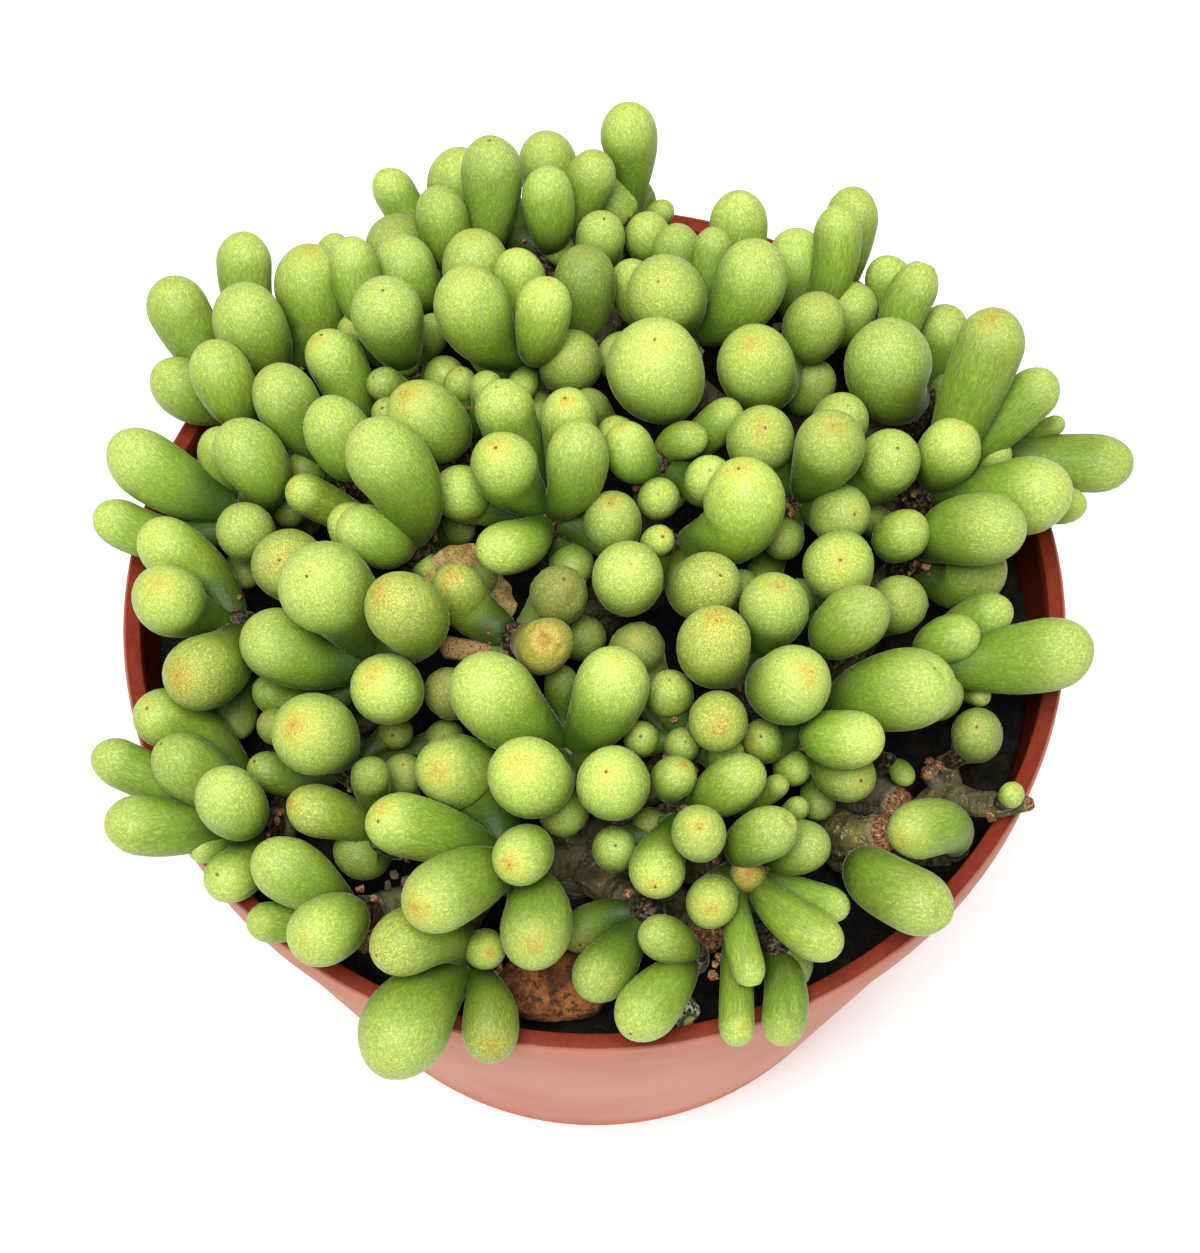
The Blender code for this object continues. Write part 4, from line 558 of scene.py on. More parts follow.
# %% The settling itself
def settle(leaves, blocks):
    """Move the leaves along their rays, and a little aside, until none crosses another."""
    count = len(leaves["along"])
    balls = len(BALL_WEIGHT)
    leaf = np.repeat(np.arange(count), balls)
    head = np.repeat(leaves["head"], balls)
    weight = np.tile(BALL_WEIGHT, count)
    up = np.cross(RIGHT, leaves["ray"])
    up /= np.sqrt((up ** 2).sum(axis=1))[:, None]
    start = leaves["along"].copy()
    for step in range(SETTLE_ROUNDS):
        centres, radii = leaf_balls(leaves)
        flat, size = centres.reshape(-1, 3), radii.reshape(-1)
        if step % PAIRS_KEPT == 0:
            pairs = near_pairs(flat, size, leaf, head, weight)
            fixed = near_blocks(flat, size, head, blocks)
        move = np.zeros((count * balls, 3))
        worst = np.zeros(count)
        a, b = pairs[:, 0], pairs[:, 1]
        gap = flat[a] - flat[b]
        away = np.sqrt((gap ** 2).sum(axis=1)) + 1e-9
        deep = np.maximum(size[a] + size[b] + CLEAR - away, 0.0)
        push = gap * (0.5 * deep / away)[:, None]
        f, k = fixed[:, 0], fixed[:, 1]
        fixed_gap = flat[f] - blocks[0][k]
        fixed_away = np.sqrt((fixed_gap ** 2).sum(axis=1)) + 1e-9
        fixed_deep = np.maximum(size[f] + blocks[1][k] + CLEAR - fixed_away, 0.0)
        fixed_push = fixed_gap * (fixed_deep / fixed_away)[:, None]
        for i in range(3):
            move[:, i] += np.bincount(a, push[:, i], len(flat))
            move[:, i] -= np.bincount(b, push[:, i], len(flat))
            move[:, i] += np.bincount(f, fixed_push[:, i], len(flat))
        from_pot = push_from_pot(flat, size)
        move += from_pot
        np.maximum.at(worst, leaf[a], deep)
        np.maximum.at(worst, leaf[b], deep)
        np.maximum.at(worst, leaf[f], fixed_deep)
        np.maximum.at(worst, leaf, np.sqrt((from_pot ** 2).sum(axis=1)))
        move *= weight[:, None]
        total = move.reshape(count, balls, 3).sum(axis=1) * MOVE_SHARE
        reach = np.sqrt((total ** 2).sum(axis=1))
        total *= (np.minimum(reach, LONGEST_MOVE) / np.maximum(reach, 1e-9))[:, None]
        leaves["along"] += (total * leaves["ray"]).sum(axis=1)
        leaves["along"] = np.clip(leaves["along"], start - ALONG_LIMIT,
                                  start + ALONG_LIMIT)
        leaves["side"][:, 0] += SIDE_SHARE * total[:, 0]
        leaves["side"][:, 1] += SIDE_SHARE * (total * up).sum(axis=1)
        far = np.sqrt((leaves["side"] ** 2).sum(axis=1))
        leaves["side"] *= (np.minimum(far, SIDE_LIMIT) / np.maximum(far, 1e-9))[:, None]
        if step >= SHRINK_FROM:
            tight = worst > CLEAR * TIGHT
            leaves["scale"] = np.where(tight, leaves["scale"] * SHRINK, leaves["scale"])
            leaves["scale"] = np.maximum(leaves["scale"], MIN_SCALE)
        leaves["along"] = np.round(leaves["along"], 6)
        leaves["side"] = np.round(leaves["side"], 6)

# %% [markdown]
# ## Leaves under the leaves
# Through the gaps between the upper leaves a grower sees darker ones below, not bare soil.  A
# seeded search over the plan puts a leaf wherever the upper ones leave room.

# %% The under storey and the stems' lines
UNDER_SEED = 4
UNDER_SPACING = 4.6
UNDER_STEPS = 13
UNDER_MIDDLE = 3.0
UNDER_ACROSS = 52.0
UNDER_UP = 47.0
UNDER_FRONT = -24.0
UNDER_CLEAR = 0.25
UNDER_NEAREST = 4.5
UNDER_FARTHEST = 15.0
UNDER_WIDTH = 6.2


def under_leaves(heads, rows):
    """Leaves of the under storey, seen only through the gaps between the upper ones."""
    centres, radii = leaf_balls(gather(rows))
    centres, radii = centres.reshape(-1, 3), radii.reshape(-1)
    draw = np.random.default_rng(UNDER_SEED)
    found = []
    for j in range(-UNDER_STEPS, UNDER_STEPS + 1):
        for i in range(-UNDER_STEPS, UNDER_STEPS + 1):
            shift = draw.uniform(-0.8, 0.8, 2)
            across = UNDER_SPACING * (i + 0.5 * (j % 2)) + shift[0]
            up = UNDER_MIDDLE + UNDER_SPACING * 0.87 * j + shift[1]
            outside = math.hypot(across / UNDER_ACROSS, (up - UNDER_MIDDLE) / UNDER_UP) > 1.0
            if outside or up < UNDER_FRONT:
                continue
            ray = view_ray(across, up)
            along = (centres - VIEW_POINT) @ ray
            foot = VIEW_POINT + along[:, None] * ray
            clear = np.sqrt(((centres - foot) ** 2).sum(axis=1)) - radii
            clear = min([float(clear.min())] + found_clear(found, across, up))
            if clear < UNDER_CLEAR:
                continue
            cores = np.array([head["point"] for head in heads])
            feet = VIEW_POINT + ((cores - VIEW_POINT) @ ray)[:, None] * ray
            away = np.sqrt(((cores - feet) ** 2).sum(axis=1))
            index = int(np.argmin(away))
            single = heads[index]["radius"] < CORE_RADIUS
            if single or not UNDER_NEAREST < away[index] < UNDER_FARTHEST:
                continue
            lean = (feet[index] - cores[index]) / away[index]
            width = min(UNDER_WIDTH, 2.0 * clear + 3.6)
            tip = (1.6 * float(lean @ RIGHT), 1.6 * float(lean @ UP))
            found.append((index, (across, up, width) + tip + (1.0,)))
    return found


def found_clear(found, across, up):
    """Distances from a place in the layout to the under leaves found so far."""
    return [math.hypot(row[0] - across, row[1] - up) - 0.5 * row[2] for _, row in found]


def gather(rows):
    """Leaves as one set of arrays."""
    leaves = {key: np.array([row[key] for row in rows]) for key in rows[0]}
    leaves["side"] = np.zeros((len(rows), 2))
    leaves["scale"] = np.ones(len(rows))
    return leaves


def nearest_foot(point):
    """The stem whose foot is nearest to a head."""
    def away(name):
        x, y = STEM_FEET[name]
        return math.hypot(point[0] - x, point[1] - y)
    return min(STEM_FEET, key=away)


def stem_line(head):
    """Points and radii of the woody stem from its trunk to a head."""
    name = nearest_foot(head["point"])
    foot = np.array(STEM_FEET[name] + (SOIL_TOP + 2.6,))
    end = head["point"] - head["axis"] * (head["down"] + GAP)
    small = head["radius"] < CORE_RADIUS
    thick = 1.5 if small else STEM_END
    if head["route"]:
        points = [foot] + [at_height(*stop[:3]) for stop in head["route"]] + [end]
        radii = [STEM_START] + [stop[3] for stop in head["route"]] + [thick]
        return name, points, radii
    low = SOIL_TOP + SOIL_RELIEF + GAP + STEM_START
    first = foot + (end - foot) * 0.35
    first[2] = max(low, first[2] - 0.35 * (end[2] - foot[2]))
    second = end - head["axis"] * 0.35 * max(end[2] - low, 3.0)
    second[2] = max(low, second[2])
    points = []
    for t in (0.0, 0.45, 0.8, 1.0):
        points.append(foot * (1 - t) ** 3 + first * (3 * t * (1 - t) ** 2)
                      + second * (3 * t * t * (1 - t)) + end * t ** 3)
    radii = [STEM_START, thick * 0.95, thick * 1.12, thick]
    return name, points, radii


def fixed_balls(heads):
    """Balls that stand for the cores, the stems and the stone, with the head each belongs to."""
    spots = []
    sizes = []
    owners = []
    for index, head in enumerate(heads):
        steps = np.linspace(-head["down"] + 0.8 * head["radius"], 1.0, 4)
        for step in steps:
            spots.append(head["point"] + head["axis"] * step)
            sizes.append(head["radius"] * 0.95)
            owners.append(index)
        _, points, radii = stem_line(head)
        for p, q, r, s in zip(points, points[1:], radii, radii[1:]):
            for t in (0.0, 0.25, 0.5, 0.75):
                spots.append(p + (q - p) * t)
                sizes.append(r + (s - r) * t)
                owners.append(-1)
    for name, points, radii in BARE_WOOD:
        line = [at_height(*p) for p in points]
        for p, q, r, s in zip(line, line[1:], radii, radii[1:]):
            for t in (0.0, 0.25, 0.5, 0.75, 1.0):
                spots.append(p + (q - p) * t)
                sizes.append(r + (s - r) * t)
                owners.append(-1)
    for x, y in STEM_FEET.values():
        spots.append(np.array((x, y, SOIL_TOP)))
        sizes.append(TRUNK_RADIUS)
        owners.append(-1)
    for shift in (-2.4, 0.0, 2.4):
        spots.append(np.array(STONE_CENTRE) + RIGHT * shift)
        sizes.append(4.6)
        owners.append(-1)
    return np.array(spots), np.array(sizes), np.array(owners)


def grow():
    """All heads and their settled leaves."""
    heads = [make_head(entry[0], len(entry[1]), *entry[2:]) for entry in HEADS]
    rows = []
    for index, entry in enumerate(HEADS):
        rows += [start_leaf(heads[index], index, row) for row in entry[1]]
    below = under_leaves(heads, rows)
    rows += [start_leaf(heads[index], index, row) for index, row in below]
    for number, (place, row) in enumerate(DRIED_LEAVES.values()):
        base = make_head(place, 1)
        rows.append(start_leaf(base, len(heads) + number, row))
    leaves = gather(rows)
    settle(leaves, fixed_balls(heads))
    return heads, leaves, below


heads, leaves, under_rows = grow()
leaf_middles, leaf_widths = leaf_middle(leaves)
print("leaves", len(leaf_widths), "widths", leaf_widths.min().round(1), leaf_widths.max().round(1))

# %% [markdown]
# ## Tools for modelling by hand
# The pieces are shaped as a modeller shapes them: a primitive is added, its rings are extruded and
# resized in edit mode, and modifiers are applied.  These helpers hold the steps that recur.

# %% Helpers for modelling
def only(item):
    """Select one object alone, and make it the active one."""
    bpy.ops.object.select_all(action="DESELECT")
    item.hide_set(False)
    item.select_set(True)
    bpy.context.view_layer.objects.active = item


def draw_rings(name, rings, sides, pole=True):
    """A closed turned shape: a circle, extruded and resized ring by ring, up to a pole."""
    bpy.ops.object.select_all(action="DESELECT")
    bpy.ops.mesh.primitive_circle_add(vertices=sides, radius=rings[0][1], fill_type="NGON",
                                      location=(0.0, 0.0, rings[0][0]))
    item = bpy.context.object
    item.name = name
    bpy.ops.object.transform_apply(location=True, rotation=True, scale=True)
    bpy.ops.object.mode_set(mode="EDIT")
    bpy.ops.mesh.select_all(action="SELECT")
    for (low, inner), (high, outer) in zip(rings, rings[1:]):
        bpy.ops.mesh.extrude_region_move(
            TRANSFORM_OT_translate={"value": (0.0, 0.0, high - low)})
        bpy.ops.transform.resize(value=(outer / inner, outer / inner, 1.0))
    if pole:
        bpy.ops.mesh.merge(type="CENTER")
    bpy.ops.mesh.select_all(action="SELECT")
    bpy.ops.mesh.normals_make_consistent(inside=False)
    bpy.ops.object.mode_set(mode="OBJECT")
    return item


def smooth_over(item, levels):
    """Round a coarse shape with a subdivision surface, applied."""
    only(item)
    change = item.modifiers.new("Smooth", "SUBSURF")
    change.levels = levels
    change.render_levels = levels
    bpy.ops.object.modifier_apply(modifier=change.name)
    bpy.ops.object.shade_smooth()


def points_of(mesh):
    """A mesh's points as an array, one row each."""
    flat = np.zeros(3 * len(mesh.vertices), np.float32)
    mesh.vertices.foreach_get("co", flat)
    return flat.reshape(-1, 3).astype(float)


def move_points(mesh, points):
    """Put a mesh's points where an array says."""
    mesh.vertices.foreach_set("co", points.astype(np.float32).ravel())
    mesh.update()


def normals_of(mesh):
    """The way out of the surface at each point."""
    flat = np.zeros(3 * len(mesh.vertices), np.float32)
    mesh.vertex_normals.foreach_get("vector", flat)
    return flat.reshape(-1, 3).astype(float)


def paint_on(mesh, name, values):
    """Keep a value for each point: a number, or three of them."""
    wide = np.ndim(values) == 2
    layer = mesh.attributes.new(name, "FLOAT_VECTOR" if wide else "FLOAT", "POINT")
    layer.data.foreach_set("vector" if wide else "value", values.astype(np.float32).ravel())


def paint_all(mesh, **values):
    """Keep several named values for each point; a lone number goes to every point."""
    for name, value in values.items():
        value = np.array(value, float)
        if value.ndim == 0 or value.shape == (3,):
            value = np.tile(value, (len(mesh.vertices),) + (1,) * value.ndim)
        paint_on(mesh, name, value)


def add_copy(name, mesh):
    """A new object of its own copy of a model mesh."""
    item = bpy.data.objects.new(name, mesh.copy())
    bpy.context.scene.collection.objects.link(item)
    return item


def join_all(name, items):
    """Make several objects one, under one name."""
    bpy.ops.object.select_all(action="DESELECT")
    for item in items:
        item.select_set(True)
    bpy.context.view_layer.objects.active = items[0]
    bpy.ops.object.join()
    items[0].name = name
    items[0].data.name = name
    return items[0]


def put_away(item):
    """Remove a model that has been copied."""
    bpy.data.objects.remove(item)


def finish_piece(item, material, slot, *nodes):
    """Give a piece its finish, and let it stand for its CAD nodes."""
    item.data.materials.clear()
    item.data.materials.append(material)
    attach(item, "root")
    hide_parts(*nodes)
    return item


def noise_at(points, scale, seed=0.0):
    """Smooth noise between about -1 and 1 at each point."""
    return np.array([noise.noise(Vector((x * scale + seed, y * scale - seed, z * scale)))
                     for x, y, z in points])


print("helpers ready")

# %% [markdown]
# ## Shader maths as expressions
# A finish is a graph of nodes.  Written node by node it is hard to read, so a small class wraps
# a socket and lets `+ - * /` add the Math nodes.  Everything else comes from one method that takes
# a node's type, its settings and what goes into its sockets.

# %% A class for sockets, and one for a finish
class Wire:
    """An output socket that can be used in arithmetic."""

    def __init__(self, finish, socket):
        self.finish = finish
        self.socket = socket

    def math(self, operation, *others, clamp=False):
        values = dict(enumerate((self,) + others))
        return self.finish.node("ShaderNodeMath",
                                {"operation": operation, "use_clamp": clamp}, values)

    def __add__(self, other):
        return self.math("ADD", other)

    def __sub__(self, other):
        return self.math("SUBTRACT", other)

    def __mul__(self, other):
        return self.math("MULTIPLY", other)

    def __truediv__(self, other):
        return self.math("DIVIDE", other)

    def __rsub__(self, other):
        return self.math("MULTIPLY_ADD", -1.0, other)

    __radd__ = __add__
    __rmul__ = __mul__

    def clamped(self):
        return self.math("ADD", 0.0, clamp=True)

    def above(self, low, high):
        """0 below low, 1 above high, and smooth between."""
        return self.finish.node("ShaderNodeMapRange", {"interpolation_type": "SMOOTHSTEP"},
                                {"Value": self, "From Min": low, "From Max": high})


class Finish:
    """A material, and the nodes that feed its shader."""

    def __init__(self, name, roughness=0.5, **fixed):
        self.material = bpy.data.materials.new(name)
        self.material.use_nodes = True
        self.tree = self.material.node_tree
        self.shader = self.tree.nodes["Principled BSDF"]
        self.shader.inputs["Roughness"].default_value = roughness
        for socket, value in fixed.items():
            self.shader.inputs[socket.replace("_", " ")].default_value = value

    def node(self, kind, settings=None, values=None, out=0):
        made = self.tree.nodes.new(kind)
        for key, value in (settings or {}).items():
            setattr(made, key, value)
        for key, value in (values or {}).items():
            self.feed(made.inputs[key], value)
        return Wire(self, made.outputs[out])

    def feed(self, socket, value):
        if isinstance(value, Wire):
            self.tree.links.new(value.socket, socket)
        else:
            socket.default_value = value

    def place(self, scale=1000.0):
        """The point on the piece, in millimetres."""
        return self.scaled(self.node("ShaderNodeTexCoord", out="Object"), scale)

    def scaled(self, vector, share):
        """A place or a colour, times one number."""
        return self.node("ShaderNodeVectorMath", {"operation": "SCALE"},
                         {0: vector, "Scale": share})

    def kept(self, name, number=False):
        """A value kept on the mesh's points."""
        return self.node("ShaderNodeAttribute", {"attribute_name": name},
                         out="Fac" if number else "Vector")

    def parts(self, vector):
        """The three numbers of a vector."""
        split = self.node("ShaderNodeSeparateXYZ", values={0: vector})
        return [Wire(self, socket) for socket in split.socket.node.outputs]

    def length(self, vector):
        return self.node("ShaderNodeVectorMath", {"operation": "LENGTH"}, {0: vector},
                         out="Value")

    def stretched(self, vector, scale):
        return self.node("ShaderNodeVectorMath", {"operation": "MULTIPLY"},
                         {0: vector, 1: scale})

    def noise(self, vector, scale, detail=2.0, roughness=0.5, distortion=0.0):
        return self.node("ShaderNodeTexNoise", values={
            "Vector": vector, "Scale": scale, "Detail": detail, "Roughness": roughness,
            "Distortion": distortion})

    def cells(self, vector, scale, feature="F1"):
        return self.node("ShaderNodeTexVoronoi", {"feature": feature},
                         {"Vector": vector, "Scale": scale}, out="Distance")

    def mix(self, a, b, share):
        """Colour a, turning to colour b as share goes to 1."""
        return self.node("ShaderNodeMix", {"data_type": "RGBA"}, {0: share, 6: a, 7: b}, out=2)

    def colour(self, value):
        self.feed(self.shader.inputs["Base Color"], value)

    def roughness(self, value):
        self.feed(self.shader.inputs["Roughness"], value)

    def relief(self, height, depth_mm, strength=1.0):
        """Low relief: height 1 stands depth_mm proud."""
        bump = self.node("ShaderNodeBump", values={
            "Height": height, "Distance": depth_mm * MM, "Strength": strength})
        self.feed(self.shader.inputs["Normal"], bump)


def tint(red, green, blue):
    """A colour as a screen shows it, 0 to 255, turned to linear light."""
    def linear(value):
        share = value / 255.0
        return share / 12.92 if share <= 0.04045 else ((share + 0.055) / 1.055) ** 2.4
    return (linear(red), linear(green), linear(blue), 1.0)


print("a leaf green in linear light", [round(v, 3) for v in tint(166, 197, 75)])

# %% [markdown]
# ## One model leaf
# Every leaf of the plant is the same kind of form: a narrow root, a long swelling, and a short
# round end like an egg's.  It is drawn once, straight and one unit wide, by extruding a circle
# ring by ring, and is then rounded.  Each leaf of the plant is a copy of it, laid along the
# leaf's own curved line.

# %% The model leaf
LEAF_SIDES = 16
NECK_PLACES = (0.0, 0.16, 0.34, 0.52, 0.7, 0.86, 1.0)
CAP_PLACES = (0.2, 0.4, 0.58, 0.73, 0.85, 0.94, 0.985)
ROUNDING = 1.025               # makes up for what the rounding takes off

leaf_rings = [(v * REACH, 0.5 * ROUNDING * float(neck_share(v))) for v in NECK_PLACES]
leaf_rings += [(REACH + c * CAP, 0.5 * ROUNDING * math.sqrt(1.0 - c * c)) for c in CAP_PLACES]
model_leaf = draw_rings("model_leaf", leaf_rings, LEAF_SIDES, pole=False)
only(model_leaf)
bpy.ops.object.mode_set(mode="EDIT")
bpy.ops.mesh.select_all(action="DESELECT")
bpy.ops.object.mode_set(mode="OBJECT")
for face in model_leaf.data.polygons:
    face.select = len(face.vertices) > 4 and face.center.z > REACH
bpy.ops.object.mode_set(mode="EDIT")
bpy.ops.mesh.poke()
bpy.ops.object.mode_set(mode="OBJECT")
smooth_over(model_leaf, 1)
print("model leaf", len(model_leaf.data.polygons), "faces")

# %% [markdown]
# ## What the photograph shows on single leaves
# Many leaves carry marks of their own: a tiny dark point where they end, a flush of yellow or
# orange, a dent or a scar.  Each leaf has a short name here, in the order of the plan.  The tables
# were read off the photograph, and say where a mark shows, in millimetres across and
# up.  Random marks alone would be quicker, but then no leaf could be told from its neighbour.

# %% Names of the leaves, and their marks
LEAF_NAMES = """
AN AO AP AQ AR | K L M N O P U | Q R S T Z | V W X Y AI AJ AK AA | A E F | B C D I | G H CH
J AF AB AC AD AE | DB AG AH AL AM | DA CI CJ CK DQ DP | DC DD DE DF DG DH DI DN | CA CB CD CF CG
CC CE CP CO GB | CL CM CN DJ CQ DU | DK DL DM DR | DS DT DV GV GW GY | EA EB EC ED EE EH EJ EK
EI EL EM DO | BC BD AV AW AX AS AT AU | BE BF BB AY AZ BA BG | EF EG EQ ES BP BO | BH BI BJ BK BU
BN BL BM BV BS BT | BQ BR | FA FB FC | ER ET FE EU | FF FD FG FI FJ | EO EN EP EV
EX EW HZ IA EY IB | IC ID IF IG FH | HS HY HX HV IE HW HX2 | HT HR HQ HP HO HU HR2 HK HL | HG HH
HJ HI | HM HN | HC HD HE HF | GU GX GZ HA HB | GI GM GR GR2 | GL GN GO | GE GF GJ GK GD GC GA
GG GH GS GT | II | IJ | IH | IL | IK
"""

# A dark point: leaf, across, up
DARK_POINTS = """
H -34.2 36.3 | P -13.8 59.9 | AB -27.1 40.9 | AM -27.5 28.4 | AQ 1.0 51.9 | AW 7.8 42.2 |
BC 6.8 36.2 | CL -39.6 8.1 | CM -35.6 5.8 | DE -5.0 28.6 | DF -12.0 22.4 | DM -3.8 5.6 |
DO 4.0 7.4 | DR -19.2 -6.7 | EF 21.1 24.9 | EH 13.6 19.9 | EI 17.4 19.4 | EL 7.6 11.1 |
EM 14.8 6.2 | ER 30.2 9.2 | ES 31.5 13.4 | BO 37.2 21.8 | FC 49.4 7.2 | FI 44.1 -7.7 |
GA -55.6 -10.7 | GD -55.9 -15.1 | GG -43.1 -15.7 | GK -48.0 -30.9 | GX -27.8 -23.3 |
GW 1.0 -18.1 | GS -25.9 -13.9 | HC -27.6 -42.3 | HG 1.1 -43.2 | HH -1.6 -40.6 | HI 3.2 -49.9 |
HX 3.1 -27.6 | HW 7.2 -33.7 | HV 12.0 -26.3 | HN 24.0 -44.6 | HO 29.5 -41.3 | HZ 5.9 -13.8 |
IC 20.9 -14.4 | IF 32.0 -19.3 | II 46.4 -13.1 | GJ -51.6 -28.4 | FH 41.2 -5.4
"""

# A flush of yellow to orange: leaf, across, up, strength
FLUSHES = """
CE -55.0 5.4 .5 | CO -53.1 -7.1 1.0 | DU -29.5 -6.7 .5 | DJ -28.8 4.6 .6 | DB -24.0 28.3 .6 |
DI 0.6 16.4 .9 | EA 2.5 25.2 .7 | EG 28.5 23.9 .5 | EN 15.4 0.2 .6 | EO 21.9 4.2 .5 |
EV 25.6 -5.7 .5 | BE 18.1 36.4 .5 | GH -36.9 -12.7 1.0 | GI -37.9 -20.8 .5 | GU -21.2 -18.6 .7 |
GV -10.1 -18.3 .4 | GZ -12.6 -29.4 .9 | HA -22.5 -36.3 1.0 | HB -9.1 -38.6 .6 |
HE -13.8 -52.3 .4 | HY 10.1 -17.3 .6 | HU 13.9 -34.2 .9 | HL 18.1 -48.9 .3 | HF -13.4 -40.4 .9 |
HT 18.1 -29.8 1.0 | HV 11.8 -26.1 .7 | EY 15.2 -11.4 .8 | DK -19.1 5.2 1.0 | DL -6.9 -1.7 1.0 |
BL 49.8 38.3 .4 | DC -21.2 -2.9 .2 | IK 37.5 -27.9 .3 | IC 19.6 -14.8 .5 | F -40.6 0.8 .2 |
DD -7.5 30.2 .4 | DG -19.0 33.9 .3 | DH -21.2 15.8 .3 | DF -12.0 22.7 .5 | AL -16.9 32.7 .4 |
CD -43.8 24.6 .3 | H -35.0 35.8 .3 | C -37.5 47.1 .2 | CL -38.8 7.7 .4 | DE -4.8 28.3 .6 |
GX -27.5 -21.7 .3 | HW 6.9 -33.3 .3 | ED 5.0 23.9 .5 | EL 7.6 11.4 .3 | ER 30.2 9.2 .3 |
EF 20.6 25.2 .5 | EI 17.4 19.6 .3 | IA 20.6 -15.4 .3 | IB 17.5 -19.2 .3 | HX 11.2 -27.3 .3 |
FI 44.1 -7.9 .2
"""

# Painted light and shade on a whole leaf: how much brighter or darker than usual
LEAF_LIGHT_AND_SHADE = {
    0.2: "BC BN W X Y DC DH GV GW DU IG DT EI EH CJ",
    0.1: "DF DE DD CM CK HX HW EV EX IC ID FF GX CA H J",
    -0.15: "L AF AL AI DN DP EU BU FC GG HG IF HE DM",
    -0.3: "AA DQ DV EP EC CP GS GT GM GB HH GR2 HX2",
}
# How slim the neck is, where it isn't the usual one
USUAL_NECK = 1.2
NECKS = {
    2.6: "AN",
    1.8: "HE HJ HQ HK CE HO IH HX HY",
    1.5: "HD HB HG HP BO EU",
    0.8: "DK EA IL DR HM DL",
}
SLIMMEST = 0.5                 # a neck keeps at least half of the usual width
LUMPY_LEAVES = "DR DL EW"
# painted shade on every leaf of the under storey
UNDER_SHADE = -0.35
OLD_LEAVES = "DR GR EW HN DM"              # greyish, and wrinkled lengthwise
SPECKLED = "DR DL DM DK HT CO HE EY EN EM DJ CL GI HC"   # brown specks all over
RED_LEAVES = "DL HT"

# Dents in single leaves: leaf, across, up, radius, depth (below 0 for a swelling)
DENTS = """
IL 43.1 -34.8 1.7 0.45 | IL 43.3 -35.0 0.5 -0.15 | HR 23.0 -23.2 1.1 0.35 | HG 1.1 -43.2 0.9 0.35 |
IB 17.5 -16.3 0.9 0.25 | AU 17.8 52.1 1.3 0.5 | BJ 39.8 46.1 1.1 0.4 | DO 4.0 7.4 0.8 0.22 |
EH 13.6 19.9 0.7 0.15 | AW 7.8 42.2 0.7 0.15 | DL -7.0 -1.5 1.6 0.5 | DR -17.0 -8.5 1.8 0.35 |
DM -2.5 3.0 1.6 0.3 | HV 11.8 -26.0 1.2 0.25 | GM -33.0 -20.0 1.4 0.3 | BC 8.7 35.2 0.8 0.12
"""
# Creases: leaf, across and up at both ends, radius, depth
CREASES = """
HM 23.0 -42.5 24.1 -47.5 0.8 0.7 | FH 40.0 -4.0 42.4 -6.5 0.8 0.25 |
HK 17.5 -47.0 19.5 -49.0 0.8 0.4 | DL -8.5 0.0 -5.0 -2.8 0.7 0.4 | DR -20.5 -5.0 -17.5 -10.0 0.8 0.3
"""


def read_rows(text):
    """Rows of a small table: a leaf's name, then numbers."""
    rows = [row.split() for row in text.replace("\n", " ").split("|")]
    return [(row[0], [float(value) for value in row[1:]]) for row in rows if row]


leaf_number = {name: number for number, name in
               enumerate(LEAF_NAMES.replace("|", " ").split())}
plan_rows = [row for entry in HEADS for row in entry[1]]
print("named leaves", len(leaf_number), "of", len(plan_rows))

# %% [markdown]
# ## Laying the model along a leaf's line
# A point of the model has a height, which says how far along the leaf it is, and a place beside
# the middle line.  The curved line of the real leaf takes the height's part, and a frame that
# leans with the line takes the rest.  Real leaves are never quite round, so each copy is turned
# and pressed a little by its own smooth noise.

# %% Copies of the model leaf
LUMP = 0.055                   # unevenness of a leaf, as a share of its width
GRAIN_ALONG = 0.55             # the skin's pattern is drawn out lengthwise by this much
ROOT_BROWN = 0.05              # a leaf is brown for this share of its length, at the root
SHADE_REACH = 16.0            # mm round a leaf in which others shade it
# how fast the painted shade grows among other leaves
SHADE_GAIN = 0.5
draw = np.random.default_rng(11)
model_points = points_of(model_leaf.data)
ball_places, ball_sizes = leaf_balls(leaves)
far_half = slice(2, None, 2)   # every second ball is enough to tell the shade
ball_spots = ball_places[:, far_half].reshape(-1, 3)
ball_radii = ball_sizes[:, far_half].reshape(-1)
ball_leaf = np.repeat(np.arange(len(ball_places)), ball_places[:, far_half].shape[1])


def bent_points(points, root, middle, axis, width):
    """The model's points, carried onto a leaf's curved line."""
    v = np.clip(points[:, 2] / REACH, 0.0, 1.0)[:, None]
    beyond = np.maximum(points[:, 2] - REACH, 0.0)[:, None]
    centre = spine_point(root, middle, axis, v) + axis * beyond * width
    span = math.sqrt(float((middle - root) @ (middle - root)))
    bend = middle - axis * span * 0.5
    tangent = (bend - root) * (1 - v) + (middle - bend) * v
    tangent /= np.sqrt((tangent ** 2).sum(axis=1))[:, None]
    across = np.cross(middle - root, axis)
    if float(across @ across) < 1e-4:
        across = np.cross(RIGHT, axis)
    across = unit(across)
    side = np.cross(across, tangent)
    return centre + (side * points[:, :1] + across * points[:, 1:2]) * width


def point_on(tree, points, middle, width, row, across, up):
    """The place on a leaf's skin that shows at a place in the plan."""
    depth = float((middle - VIEW_POINT) @ FORWARD) / LAYOUT_DISTANCE
    scale = depth * min(width / (row[2] * depth), 1.0)
    shift = RIGHT * (across - row[0]) + UP * (up - row[1])
    aim = unit(middle + shift * scale - VIEW_POINT)
    hit = tree.ray_cast(Vector(VIEW_POINT), Vector(aim))[0]
    if hit is None:
        foot = VIEW_POINT + aim * float((middle - VIEW_POINT) @ aim)
        hit = tree.find_nearest(Vector(foot))[0]
    return np.array(hit)


